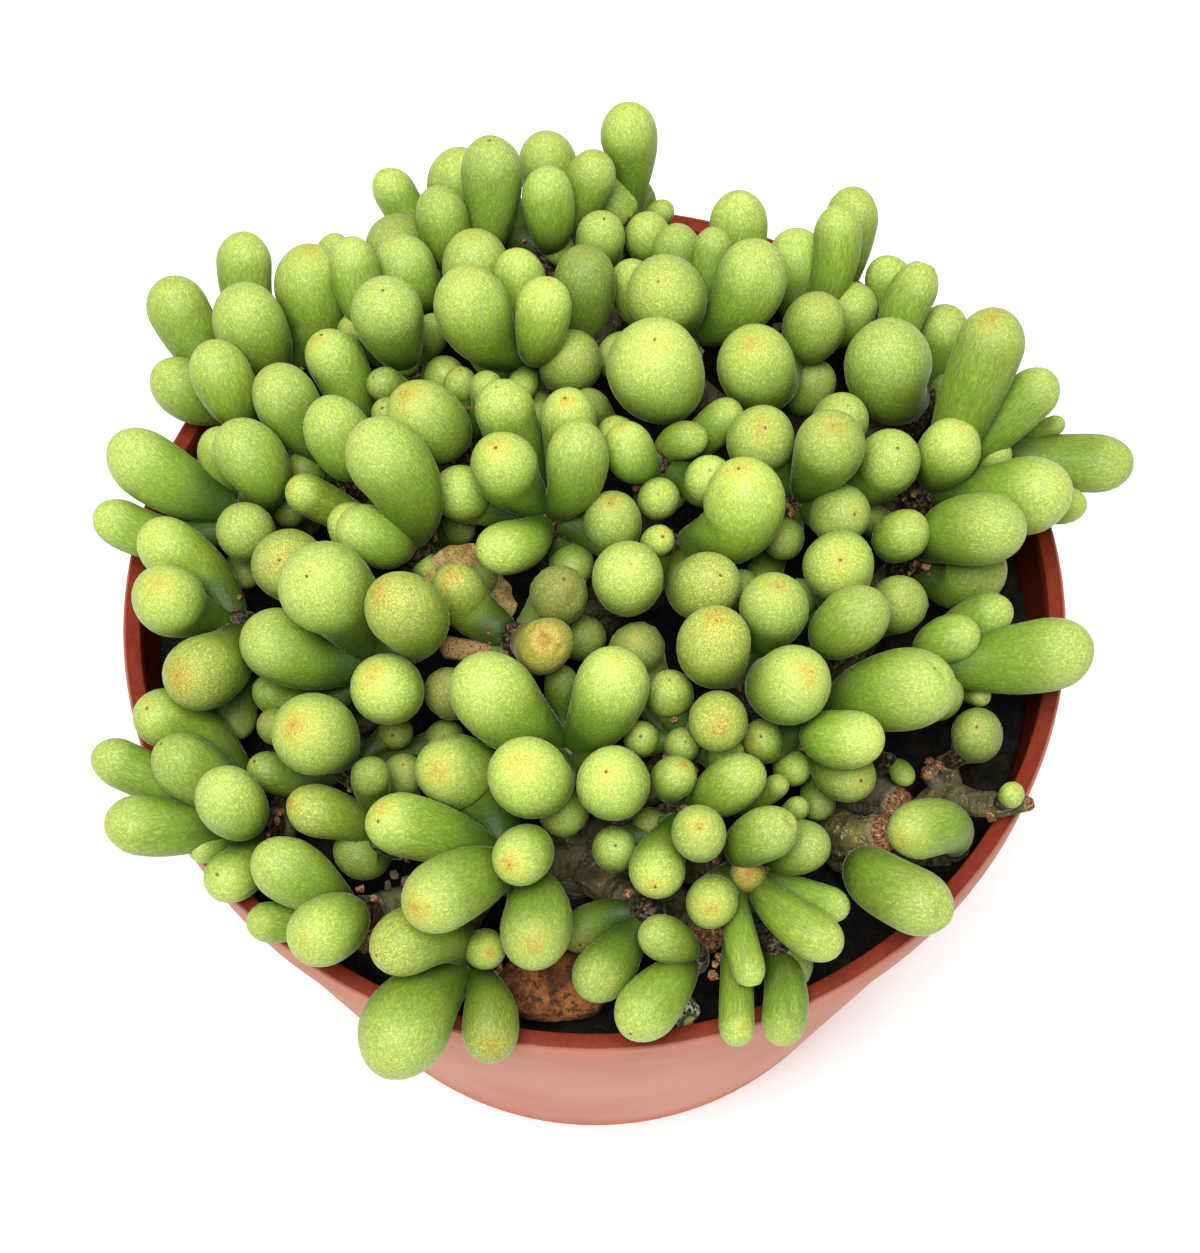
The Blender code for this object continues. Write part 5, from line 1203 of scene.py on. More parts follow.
def press(points, normals, distance, radius, depth):
    """Dent the skin to a depth, with a low raised edge round the dent."""
    share = distance / radius
    bowl = np.where(share < 1.0, (1.0 - share ** 2) ** 2, 0.0)
    edge = np.exp(-((share - 1.15) / 0.3) ** 2)
    return points + normals * (depth * (0.25 * edge - bowl))[:, None]


def distance_to_line(points, a, b):
    run = b - a
    t = np.clip(((points - a) @ run) / max(float(run @ run), 1e-9), 0.0, 1.0)[:, None]
    return np.sqrt(((points - a - run * t) ** 2).sum(axis=1))


def listed(name, words):
    return name in words.split()


def buried_share(points, normals, number):
    """Painted shade: how far other leaves shut each place in, 0 in the open, near 1 deep among them.
    """
    near = np.sqrt(((ball_spots - points.mean(axis=0)) ** 2).sum(axis=1)) < SHADE_REACH
    near &= ball_leaf != number
    if not near.any():
        return np.zeros(len(points))
    away = ball_spots[near][None] - points[:, None]
    distance = np.sqrt((away ** 2).sum(axis=2)) + 1e-6
    facing = (away * (0.5 * normals + (0.0, 0.0, 0.8))[:, None]).sum(axis=2) / distance
    size = np.minimum(ball_radii[near] / distance, 1.0) ** 2
    return 1.0 - np.exp(-SHADE_GAIN * (size * np.maximum(facing, 0.0)).sum(axis=1))


def make_leaf(number, name, row, root, middle, axis, width):
    """One leaf as an object: its form, its dents, and the values its skin needs."""
    turn, seed = draw.uniform(0.0, 2 * math.pi), draw.uniform(0.0, 90.0)
    tone = 0.06 * draw.standard_normal()
    # Under leaves and listed leaves take painted light and shade in place of a random tone.
    tone = UNDER_SHADE if name == "under" else tone
    flush, speckle, yellow = draw.uniform(0.0, 0.4), draw.uniform(0.0, 0.3), draw.uniform(0, 1)
    for value, names in LEAF_LIGHT_AND_SHADE.items():
        tone = value if listed(name, names) else tone
    neck = USUAL_NECK
    for value, names in NECKS.items():
        neck = value if listed(name, names) else neck
    points = model_points.copy()
    c, s = math.cos(turn), math.sin(turn)
    points[:, 0], points[:, 1] = (c * points[:, 0] - s * points[:, 1],
                                  s * points[:, 0] + c * points[:, 1])
    along = points[:, 2] / (REACH + CAP)
    lump = LUMP * (2.4 if listed(name, LUMPY_LEAVES) else 1.0)
    swell = 1.0 + 2.0 * lump * noise_at(points, 1.1, seed) * np.minimum(along * 3.0, 1.0)
    slim = neck_share(np.clip(points[:, 2] / REACH, 0.0, 1.0)) ** (neck - 1.0)
    swell *= np.maximum(slim, SLIMMEST)
    if listed(name, OLD_LEAVES):
        angle = np.arctan2(points[:, 1], points[:, 0])
        swell += 0.02 * np.sin(11 * angle + 2 * np.sin(5 * points[:, 2])) * np.minimum(along * 3, 1)
    grain = points * width
    grain[:, 2] = width * points[:, 2] * GRAIN_ALONG
    points[:, :2] *= swell[:, None]
    item = add_copy(f"leaf_{number}", model_leaf.data)
    mesh = item.data
    points = bent_points(points, root, middle, axis, width)
    move_points(mesh, points)
    faces = [tuple(face.vertices) for face in mesh.polygons]
    tree = BVHTree.FromPolygons([Vector(p) for p in points], faces)

    def spot(across, up):
        return point_on(tree, points, middle, width, row, across, up)

    normals = normals_of(mesh)
    for _, (across, up, radius, depth) in [r for r in dents if r[0] == name]:
        away = np.sqrt(((points - spot(across, up)) ** 2).sum(axis=1))
        points = press(points, normals, away, radius, depth)
    for _, values in [r for r in creases if r[0] == name]:
        away = distance_to_line(points, spot(*values[0:2]), spot(*values[2:4]))
        points = press(points, normals, away, values[4], values[5])
    points = np.clip(points, *(np.array(cad_box) / MM))
    tip = middle + axis * CAP * width
    dot, flush_at, dot_size = tip, tip, draw.choice([-0.3, 0.08, 0.14])
    for _, (across, up) in [r for r in dark_points if r[0] == name]:
        dot, flush_at, dot_size = spot(across, up), spot(across, up), 0.22
    for _, (across, up, strength) in [r for r in flushes if r[0] == name]:
        flush_at, flush = spot(across, up), 0.35 + 0.75 * strength
    if listed(name, SPECKLED):
        speckle = 1.0
    red = 1.0 if listed(name, RED_LEAVES) else 0.0
    old = 1.0 if listed(name, OLD_LEAVES) else 0.0
    move_points(mesh, points * MM)
    paint_all(mesh, buried=buried_share(points, normals, number),
              grain=grain + draw.uniform(-40.0, 40.0, 3), dot_from=points - dot,
              flush_from=(points - flush_at) / (0.5 * width), leaf_tone=(tone, yellow, flush),
              leaf_age=(speckle, red, old), along=along, dot_size=dot_size,
              knob=1.0 - np.clip(along / ROOT_BROWN, 0.0, 1.0))
    return item


dark_points, flushes = read_rows(DARK_POINTS), read_rows(FLUSHES)
dents, creases = read_rows(DENTS), read_rows(CREASES)
all_names = list(leaf_number)
unknown = {r[0] for r in dark_points + flushes + dents + creases} - set(all_names)
print("marks", len(dark_points), len(flushes), "dents", len(dents), "unknown", unknown)

# %% [markdown]
# ## The leaves' skin
# The skin is yellow-green and matt, with a fine net that runs lengthwise, a bloom of wax that
# whitens it where it is seen at a flat angle, and on some leaves a flush of yellow, orange and
# brown specks near the tip.  The net mixes Voronoi cells with folded noise, both on the leaf's own
# grain, so that it is drawn out along the leaf and is strongest at the tip.  Leaves are darker
# towards the root.  Painted shade darkens them where others shut them in, which each point keeps
# as a number, and a leaf's tone carries painted light and shade.  The wax is the shader's sheen.

# %% Skin of the leaves
def leaf_skin():
    skin = Finish("leaf_green", 0.5, Sheen_Weight=0.3, Sheen_Roughness=0.14,
                  Sheen_Tint=tint(226, 240, 200), Specular_IOR_Level=0.25)
    grain = skin.kept("grain")
    tone, yellow, flush = skin.parts(skin.kept("leaf_tone"))
    speckle, red, old = skin.parts(skin.kept("leaf_age"))
    along = skin.kept("along", number=True)
    buried = skin.kept("buried", number=True)
    from_dot = skin.length(skin.kept("dot_from"))
    from_flush = skin.length(skin.kept("flush_from"))
    cloud = skin.noise(grain, 0.28, 2.0)
    patch = skin.noise(grain, 0.9, 3.0, 0.6)
    drift = skin.node("ShaderNodeTexNoise", values={"Vector": grain, "Scale": 2.2}, out="Color")
    warped = skin.node("ShaderNodeVectorMath", {"operation": "MULTIPLY_ADD"},
                       {0: drift, 1: (0.6, 0.6, 0.6), 2: grain})
    cells = 1.0 - skin.cells(warped, 2.7).above(0.1, 0.62)
    fine = skin.noise(warped, 4.2, 3.0, 0.65)
    net = (fine - 0.5).math("ABSOLUTE").above(0.0, 0.1)
    # Painted shade lowers the green where other leaves shut a place in.
    height = along * 1.15 + 0.02 + (cloud - 0.5) * 0.35 - buried * 0.4
    green = skin.mix(tint(52, 78, 18), tint(122, 152, 50), height.above(0.0, 0.6))
    green = skin.mix(green, tint(188, 210, 108), height.above(0.5, 1.2) * 0.9)
    green = skin.mix(green, tint(180, 196, 60), yellow * 0.4 * along * patch.above(0.35, 0.75))
    # Painted shade: leaves of low tone turn a darker green.
    green = skin.mix(green, tint(76, 108, 24), (0.0 - tone).clamped() * 0.5)
    green = skin.mix(green, tint(126, 140, 74), old * 0.6)
    pattern = cells * 0.45 + net * 0.55 - 0.5
    green = skin.scaled(green, pattern * (0.32 + 0.42 * along) + 1.0)
    uneven = (patch - 0.5) * 0.8
    glow = (0.9 - from_flush + uneven).above(0.0, 0.95) * flush
    green = skin.mix(green, tint(210, 204, 74), (glow * 0.6).clamped())
    core = (0.42 - from_flush + uneven * 0.6).above(0.0, 0.5) * flush
    green = skin.mix(green, tint(206, 152, 66), (core * 0.45).clamped())
    green = skin.mix(green, tint(176, 112, 52), red * (core * 0.6 + 0.35).clamped())
    near = (0.62 - from_flush + uneven).above(0.0, 0.7) * flush + speckle * 0.6 * along
    crackle = (1.0 - net) * near.clamped()
    green = skin.mix(green, tint(142, 98, 38), (crackle * 0.75).clamped())
    ragged = (fine - 0.5) * 0.3
    dot = (skin.kept("dot_size", number=True) - from_dot + ragged).above(-0.1, 0.12)
    green = skin.mix(green, tint(92, 56, 28), dot * 0.85)
    # Painted light and shade: the leaf's tone and the painted shade among other leaves scale the
    # colour.
    green = skin.scaled(green, (tone + 1.0) * (1.0 - buried * 0.3))
    crumbly = skin.noise(grain, 1.6, 3.0, 0.7).above(0.45, 0.66)
    crumbs = skin.mix(tint(24, 19, 14), tint(112, 92, 68), crumbly)
    skin.colour(skin.mix(green, crumbs, skin.kept("knob", number=True)))
    skin.roughness(0.44 + 0.14 * fine + 0.1 * old)
    skin.relief(cells * 0.6 + fine * 0.7, 0.05)
    return skin.material


leaf_green = leaf_skin()
print("finish", leaf_green.name, len(leaf_green.node_tree.nodes), "nodes")

# %% [markdown]
# ## The heads of leaves
# Each head is one piece: its leaves and the brown knob that they grow from.  The knob is a short
# turned form.  It hardly shows, but it closes the middle of the head, so that no leaf hangs free.

# %% Heads
CORE_SLIM = 0.8
core_rings = [(0.0, 1.0), (0.35, 1.02), (0.75, 0.95), (1.0, 0.6), (1.08, 0.2)]
model_core = draw_rings("model_core", core_rings, 12)
smooth_over(model_core, 1)
core_points = points_of(model_core.data)


def upright_points(points, low, axis, length, radius):
    """A straight model stood on a point: its height 1 becomes the length."""
    across = np.cross(axis, FORWARD)
    across = unit(across)
    side = np.cross(across, axis)
    return (low + axis * points[:, 2:] * length
            + (side * points[:, :1] + across * points[:, 1:2]) * radius)


def make_core(number, head):
    """The knob of one head, brown with old leaf bases."""
    item = add_copy(f"core_{number}", model_core.data)
    low = head["point"] - head["axis"] * head["down"]
    points = upright_points(core_points, low, head["axis"], (head["down"] + CORE_UP) / 1.08,
                            head["radius"] * CORE_SLIM)
    points += 0.25 * head["radius"] * noise_at(points, 0.8, number)[:, None] * head["axis"]
    move_points(item.data, points * MM)
    # Painted shade: the knob takes full painted shade and a dark tone.
    paint_all(item.data, grain=points, buried=1.0, knob=1.0, leaf_tone=(-0.4, 0.0, 0.0),
              leaf_age=(0.4, 0.0, 0.0), dot_size=-1.0, along=0.0, dot_from=points,
              flush_from=points)
    return item


leaf_rows = plan_rows + [row for _, row in under_rows] + [row for _, row in
                                                          DRIED_LEAVES.values()]
made_leaves = 0
for index, head in enumerate(heads):
    items = [make_core(index, head)]
    for k in np.nonzero(leaves["head"] == index)[0]:
        name = all_names[k] if k < len(all_names) else "under"
        items.append(make_leaf(k, name, leaf_rows[k], leaves["root"][k], leaf_middles[k],
                               leaves["axis"][k], float(leaf_widths[k])))
        made_leaves += 1
    node = f"leaf_head_{index + 1:02d}"
    finish_piece(join_all(f"leaves_{index + 1:02d}", items), leaf_green, "leaf_green", node)
put_away(model_core)
print("leaves made", made_leaves)

# %% [markdown]
# ## Stems
# The stems are short and thick, with low rings where leaves once sat.  The model is a straight
# length of stem, turned ring by ring with a slight swelling at each scar.  It is
# copied along every branch.  Its far end is a rough dome, where the tip has died back.

# %% The model stem, and its copies along the branches
STEM_RINGS = 22
STEM_FINE_SIDES = 14
scar_rings = []
for ring in range(STEM_RINGS + 1):
    t = ring / STEM_RINGS
    scar_rings.append((t, 1.0 + 0.03 * math.sin(ring * math.pi / 2) ** 2))
scar_rings += [(1.03, 0.86), (1.05, 0.6), (1.06, 0.25)]
model_stem = draw_rings("model_stem", scar_rings, STEM_FINE_SIDES)
stem_points = points_of(model_stem.data)
BARK_ROUGHNESS = 0.07          # relief of the bark, as a share of the stem's radius
CUT_STUB = 66                  # the length whose end is a clean cut with a pale pith
NO_CUT = 2.0                   # beyond the cut's rings, so that bark shows


def smooth_route(points, radii, t):
    """A place and a radius on the smooth curve through a route's points."""
    points = [2 * points[0] - points[1]] + list(points) + [2 * points[-1] - points[-2]]
    radii = [radii[0]] + list(radii) + [radii[-1]]
    spans = len(points) - 3
    at = np.clip(t, 0.0, 1.0) * spans
    k = np.minimum(at.astype(int), spans - 1)
    f = (at - k)[:, None]
    p = np.array(points)
    a, b, c, d = p[k], p[k + 1], p[k + 2], p[k + 3]
    place = 0.5 * (2 * b + (c - a) * f + (2 * a - 5 * b + 4 * c - d) * f ** 2
                   + (3 * b - a - 3 * c + d) * f ** 3)
    r = np.array(radii)
    g = f[:, 0] ** 2 * (3 - 2 * f[:, 0])
    return place, r[k + 1] * (1 - g) + r[k + 2] * g


def stem_points_along(points, radii, seed, scarred):
    """The model stem, carried along a route, with its bark's relief."""
    t = stem_points[:, 2]
    place, radius = smooth_route(points, radii, t)
    ahead, _ = smooth_route(points, radii, np.minimum(t, 1.0) + 0.02)
    behind, _ = smooth_route(points, radii, np.minimum(t, 1.0) - 0.02)
    tangent = ahead - behind
    tangent /= np.sqrt((tangent ** 2).sum(axis=1))[:, None]
    across = np.cross(tangent, unit(FORWARD + 0.3 * RIGHT))
    across /= np.sqrt((across ** 2).sum(axis=1))[:, None]
    side = np.cross(across, tangent)
    beyond = np.maximum(t - 1.0, 0.0)[:, None] * 12.0 * radius[:, None]
    spot = place + tangent * beyond
    spot = spot + (side * stem_points[:, :1] + across * stem_points[:, 1:2]) * radius[:, None]
    rough = noise_at(spot, 0.75, seed) + 0.6 * noise_at(spot, 1.7, seed)
    end = np.clip((t - 0.82) / 0.18, 0.0, 1.0) * scarred
    out = spot - place
    out /= np.maximum(np.sqrt((out ** 2).sum(axis=1)), 1e-6)[:, None]
    spot = spot + out * (rough * (BARK_ROUGHNESS + 0.14 * end) * radius * 0.8)[:, None]
    length = sum(float(np.sqrt(((q - p) ** 2).sum())) for p, q in zip(points, points[1:]))
    grain = np.column_stack((stem_points[:, :2] * radius[:, None], t * length))
    return spot, end, grain


def make_stem_length(number, points, radii, scarred=0.0, olive=0.4):
    """One length of stem; olive is 0 for grey wood and 1 for green-brown."""
    item = add_copy(f"stem_{number}", model_stem.data)
    spot, end, grain = stem_points_along(points, radii, 3.7 * number, scarred)
    move_points(item.data, spot * MM)
    reach = np.sqrt((stem_points[:, :2] ** 2).sum(axis=1))
    on_cut = (stem_points[:, 2] > 0.93) & (number == CUT_STUB)
    paint_all(item.data, scarred=end, olive=olive, bark_place=grain + 17.0 * number,
              cut_ring=np.where(on_cut, reach, NO_CUT))
    return item


def trunk_route(foot):
    x, y = foot
    heights = (SOIL_TOP - SOCKET_DEPTH + 0.5, SOIL_TOP, SOIL_TOP + 2.6, SOIL_TOP + 4.2)
    return [np.array((x, y, z)) for z in heights], [0.93 * TRUNK_RADIUS, 0.93 * TRUNK_RADIUS,
                                                    0.85 * TRUNK_RADIUS, 0.62 * TRUNK_RADIUS]


# %% [markdown]
# ## Bark
# Some of the wood is olive and some grey.  Both have pale flecks, and the broken ends are brown
# and flaky.  Noise at several sizes gives the flecks and flakes, and numbers kept on the
# points say where an end is broken, and where it is a clean cut with a pale pith.

# %% Bark
def bark():
    skin = Finish("woody_stem", 0.88, Specular_IOR_Level=0.2)
    spot = skin.kept("bark_place")
    scarred, olive = skin.kept("scarred", number=True), skin.kept("olive", number=True)
    broad = skin.noise(spot, 0.32, 3.0, 0.6).above(0.35, 0.65)
    fine = skin.noise(spot, 1.8, 4.0, 0.65, 0.4)
    ringed = skin.noise(skin.stretched(spot, (0.8, 0.8, 1.3)), 0.9, 3.0, 0.6)
    wood = skin.mix(skin.mix(tint(50, 50, 36), tint(94, 92, 68), broad),
                    skin.mix(tint(70, 68, 34), tint(120, 112, 62), broad), olive)
    wood = skin.mix(wood, tint(40, 32, 20), ringed.above(0.45, 0.33) * 0.3)
    wood = skin.mix(wood, tint(118, 84, 48), fine.above(0.54, 0.66) * 0.5)
    flecks = ringed.above(0.52, 0.6) * skin.noise(spot, 3.4, 2.0).above(0.5, 0.6)
    wood = skin.mix(wood, tint(206, 200, 170), flecks * (0.15 + 0.25 * olive))
    flakes = skin.noise(spot, 3.2, 4.0, 0.6)
    scab = skin.mix(tint(74, 48, 32), tint(150, 108, 70), flakes.above(0.36, 0.58))
    scab = skin.mix(scab, tint(208, 186, 150), flakes.above(0.58, 0.68) * 0.7)
    wood = skin.mix(wood, scab, scarred.above(0.75, 0.95))
    rim = scarred.above(0.35, 0.6) * (1.0 - scarred.above(0.75, 0.95))
    wood = skin.mix(wood, tint(158, 146, 112), rim * fine.above(0.36, 0.56) * 0.7)
    ring = skin.kept("cut_ring", number=True)
    pith = skin.mix(tint(206, 210, 132), tint(70, 92, 44), ring.above(0.25, 0.5))
    rind = skin.mix(tint(52, 52, 34), tint(214, 206, 180), flakes.above(0.46, 0.54))
    pith = skin.mix(pith, rind, ring.above(0.5, 0.8))
    skin.colour(skin.mix(pith, wood, ring.above(1.2, 1.4)))
    skin.roughness(0.8 + 0.15 * fine)
    skin.relief(fine * 0.8 + ringed * 0.4, 0.3)
    return skin.material


woody_stem = bark()
stem_items = {name: [make_stem_length(90 + k, *trunk_route(foot), olive=0.0)]
              for k, (name, foot) in enumerate(STEM_FEET.items())}
for number, head in enumerate(heads):
    name, points, radii = stem_line(head)
    stem_items[name].append(make_stem_length(number, points, radii))
for number, (name, points, radii) in enumerate(BARE_WOOD):
    line = [at_height(*point) for point in points]
    olive = 0.0 if number in GREY_WOOD else 1.0
    stem_items[name].append(make_stem_length(60 + number, line, radii, 1.0, olive))
put_away(model_stem)

# %% [markdown]
# ## Buds and dry chips
# Round the leaves' roots sit brown chips of old leaf bases, and the bare stems end in small buds.
# Both are copies of one ball of 20 faces, squashed unevenly by seeded draws.

# %% Buds and dry chips
CHIPS_PER_HEAD = 9
BUDS_PER_END = 7
chip_draw = np.random.default_rng(31)
bpy.ops.object.select_all(action="DESELECT")
bpy.ops.mesh.primitive_ico_sphere_add(subdivisions=1, radius=1.0)
model_chip = bpy.context.object
chip_points = points_of(model_chip.data)


def add_chip(place, size, squash):
    """One chip or bud on a stem, unevenly squashed."""
    item = add_copy("chip", model_chip.data)
    spot = place + chip_points * chip_draw.uniform(1.0 - squash, 1.0, (1, 3)) * size
    spot += chip_draw.normal(0.0, 0.12 * size, spot.shape)
    move_points(item.data, spot * MM)
    paint_all(item.data, scarred=1.0, olive=1.0, bark_place=spot, cut_ring=NO_CUT)
    return item


for head in heads:
    name = nearest_foot(head["point"])
    across = unit(np.cross(head["axis"], FORWARD))
    side = np.cross(across, head["axis"])
    single = head["radius"] < CORE_RADIUS
    for _ in range(BUDS_PER_END if single else CHIPS_PER_HEAD):
        turn = chip_draw.uniform(0.0, 2 * math.pi)
        ring = across * math.cos(turn) + side * math.sin(turn)
        low, high = (-head["down"] - 3.0, -head["down"] + 0.5) if single else (-3.0, 2.6)
        place = head["point"] + head["axis"] * chip_draw.uniform(low, high)
        size = chip_draw.uniform(0.7, 1.1) if single else chip_draw.uniform(0.35, 0.8)
        place = place + ring * head["radius"] * (0.95 if single else 1.0)
        stem_items[name].append(add_chip(place, size, 0.4))
put_away(model_chip)
for name, items in stem_items.items():
    finish_piece(join_all(name.replace("stem", "bark"), items), woody_stem, "woody_stem", name)
print("stems", len(stem_items), "lengths and chips", sum(map(len, stem_items.values())))

# %% [markdown]
# ## The pot
# The pot is moulded plastic: a thin tapered wall, a low collar below the rim, and a flat lip.  Its
# section is drawn as a line of edges and spun round the axis in edit mode, and the drain holes are
# cut from the floor.

# %% Pot
def spin_section(name, section, steps):
    """A closed turned shape from a section of (radius, height), spun about the Z axis."""
    bpy.ops.object.select_all(action="DESELECT")
    bpy.ops.mesh.primitive_plane_add(size=0.01, location=(0.0, 0.0, 0.0))
    item = bpy.context.object
    item.name = name
    bpy.ops.object.mode_set(mode="EDIT")
    bpy.ops.mesh.select_all(action="SELECT")
    bpy.ops.mesh.merge(type="CENTER")
    bpy.ops.transform.translate(value=(section[0][0] * MM, 0.0, section[0][1] * MM))
    for (r0, z0), (r1, z1) in zip(section, section[1:]):
        bpy.ops.mesh.extrude_region_move(
            TRANSFORM_OT_translate={"value": ((r1 - r0) * MM, 0.0, (z1 - z0) * MM)})
    bpy.ops.mesh.select_all(action="SELECT")
    bpy.ops.mesh.spin(steps=steps, angle=2 * math.pi, center=(0, 0, 0), axis=(0, 0, 1))
    bpy.ops.mesh.select_all(action="SELECT")
    bpy.ops.mesh.remove_doubles(threshold=0.00001)
    bpy.ops.mesh.normals_make_consistent(inside=False)
    bpy.ops.object.mode_set(mode="OBJECT")
    return item


collar = POT_HEIGHT - COLLAR_HEIGHT
inner_foot = outer_radius(FLOOR_THICKNESS) - SIDE_WALL
pot_section = [
    (0.0, FLOOR_THICKNESS), (inner_foot - 1.0, FLOOR_THICKNESS),
    (inner_foot, FLOOR_THICKNESS + 0.6), (outer_radius(collar) - SIDE_WALL, collar),
    (RIM_RADIUS - LIP_WALL, collar + 2.0), (RIM_RADIUS - LIP_WALL, POT_HEIGHT - 0.5),
    (RIM_RADIUS - LIP_WALL + 0.15, POT_HEIGHT - 0.15), (RIM_RADIUS - LIP_WALL + 0.5, POT_HEIGHT),
    (RIM_RADIUS - 0.5, POT_HEIGHT), (RIM_RADIUS - 0.15, POT_HEIGHT - 0.15),
    (RIM_RADIUS, POT_HEIGHT - 0.5), (RIM_RADIUS, collar + 0.35),
    (RIM_RADIUS - 0.12, collar + 0.1), (outer_radius(collar), collar),
    (outer_radius(collar - 0.8) - 0.05, collar - 0.8), (outer_radius(60.0), 60.0),
    (outer_radius(30.0), 30.0), (outer_radius(1.4), 1.4), (outer_radius(0.6) - 0.25, 0.35),
    (FOOT_RADIUS - 1.0, 0.0), (FOOT_RADIUS - 3.0, 0.0), (FOOT_RADIUS - 3.6, 0.5), (0.0, 0.5),
]
pot_shell = spin_section("pot_shell", pot_section, 144)
for k in range(DRAIN_COUNT):
    turn = math.pi / DRAIN_COUNT + 2 * math.pi * k / DRAIN_COUNT
    bpy.ops.object.select_all(action="DESELECT")
    bpy.ops.mesh.primitive_cylinder_add(
        vertices=32, radius=DRAIN_RADIUS * MM, depth=9.0 * MM,
        location=(DRAIN_CIRCLE * math.cos(turn) * MM, DRAIN_CIRCLE * math.sin(turn) * MM, 0.0))
    cutter = bpy.context.object
    only(pot_shell)
    hole = pot_shell.modifiers.new("Drain", "BOOLEAN")
    hole.operation = "DIFFERENCE"
    hole.object = cutter
    bpy.ops.object.modifier_apply(modifier=hole.name)
    bpy.data.objects.remove(cutter)
only(pot_shell)
bpy.ops.object.shade_smooth_by_angle(angle=math.radians(28))
print("pot", len(pot_shell.data.polygons), "faces")

# %% [markdown]
# ## Moulded plastic
# The lip is dark red-brown, with a painted highlight along its outer edge.  The outside wall is
# paler, lightened by painted glare, and a little redder at the foot.  Height and distance from the
# axis tell the shader which it is.

# %% Moulded plastic
def pot_plastic_finish():
    skin = Finish("pot_plastic", 0.5, Specular_IOR_Level=0.12)
    spot = skin.place()
    x, y, z = skin.parts(spot)
    radius = (x * x + y * y).math("SQRT")
    taper = (RIM_RADIUS - COLLAR_STEP - FOOT_RADIUS) / (POT_HEIGHT - COLLAR_HEIGHT)
    below_lip = 1.0 - z.above(POT_HEIGHT - 0.4, POT_HEIGHT - 0.1)
    outside = (radius - (FOOT_RADIUS + taper * z)).above(-1.4, -0.5) * below_lip
    broad = skin.noise(spot, 0.03, 3.0)
    fine = skin.noise(spot, 0.9, 3.0, 0.6)
    streak = skin.noise(skin.stretched(spot, (0.25, 0.25, 3.0)), 0.5, 3.0, 0.6)
    lip = skin.mix(tint(110, 38, 18), tint(122, 46, 26), fine.above(0.3, 0.7))
    # Painted highlight: a light band along the lip's outer edge.
    edge = (radius - RIM_RADIUS).above(-0.5, -0.2) * z.above(POT_HEIGHT - 0.6, POT_HEIGHT - 0.3)
    lip = skin.mix(lip, tint(226, 160, 140), edge * 0.35)
    # Painted light: the outside wall is made much paler than the lip, as a glare washes it.
    glare_pale_wall = skin.mix(tint(196, 130, 108), tint(206, 144, 122), broad.above(0.35, 0.65))
    glare_pale_wall = skin.mix(glare_pale_wall, tint(176, 106, 88), streak.above(0.55, 0.8) * 0.35)
    glare_pale_wall = skin.mix(glare_pale_wall, tint(204, 116, 88), 1.0 - z.above(1.0, 13.0))
    skin.colour(skin.mix(lip, glare_pale_wall, outside))
    skin.roughness(0.5 + 0.14 * fine + 0.08 * outside)
    skin.relief(fine * 0.3 + streak * 0.5, 0.03)
    return skin.material


finish_piece(pot_shell, pot_plastic_finish(), "pot_plastic", "pot")
print("pot dressed")

# %% [markdown]
# ## Soil
# The filling is dark peat.  Its top is uneven, and crumbs of peat, bark and pale grit lie on it.
# The top is spun like the pot, then its points are lifted by noise, and one crumb is modelled and
# scattered in seeded copies.

# %% Soil
soil_edge = outer_radius(SOIL_TOP) - SIDE_WALL - GAP
soil_floor = FLOOR_THICKNESS + GAP
soil_section = [(soil_edge * k / 34, SOIL_TOP) for k in range(35)]
soil_section += [(outer_radius(soil_floor) - SIDE_WALL - GAP, soil_floor), (0.0, soil_floor)]
soil_bed = spin_section("soil_bed", soil_section, 110)
soil_points = points_of(soil_bed.data) / MM
top = soil_points[:, 2] > 0.5 * SOIL_TOP
reach = np.sqrt((soil_points[:, :2] ** 2).sum(axis=1))
fade = np.clip((soil_edge - reach) / 2.0, 0.0, 1.0)
relief = 0.55 * noise_at(soil_points, 0.12, 4.0) + 0.75 * noise_at(soil_points, 0.5, 9.0)
relief += 0.45 * noise_at(soil_points, 1.1, 2.0)
soil_points[:, 2] += np.where(top, relief * (0.25 + 0.75 * fade), 0.0)
move_points(soil_bed.data, soil_points * MM)
only(soil_bed)
bpy.ops.object.shade_smooth()


def soil_finish():
    skin = Finish("soil", 0.95, Specular_IOR_Level=0.2)
    spot = skin.place()
    coarse = skin.noise(spot, 0.5, 4.0, 0.7)
    fine = skin.noise(spot, 2.0, 3.0, 0.7)
    peat = skin.mix(tint(14, 13, 11), tint(38, 31, 24), coarse.above(0.42, 0.7))
    peat = skin.mix(peat, tint(84, 66, 48), fine.above(0.66, 0.76) * 0.4)
    peat = skin.mix(peat, tint(196, 178, 150), skin.kept("pale", number=True))
    skin.colour(peat)
    skin.roughness(0.86 + 0.12 * fine)
    skin.relief(coarse + fine * 0.5, 0.6)
    return skin.material

# %% [markdown]
# ## Crumbs
# One crumb of 20 faces is copied over the soil by seeded draws, with a few pale grains where the
# photograph shows them.  They are joined to the soil's piece, since they lie loose on it.

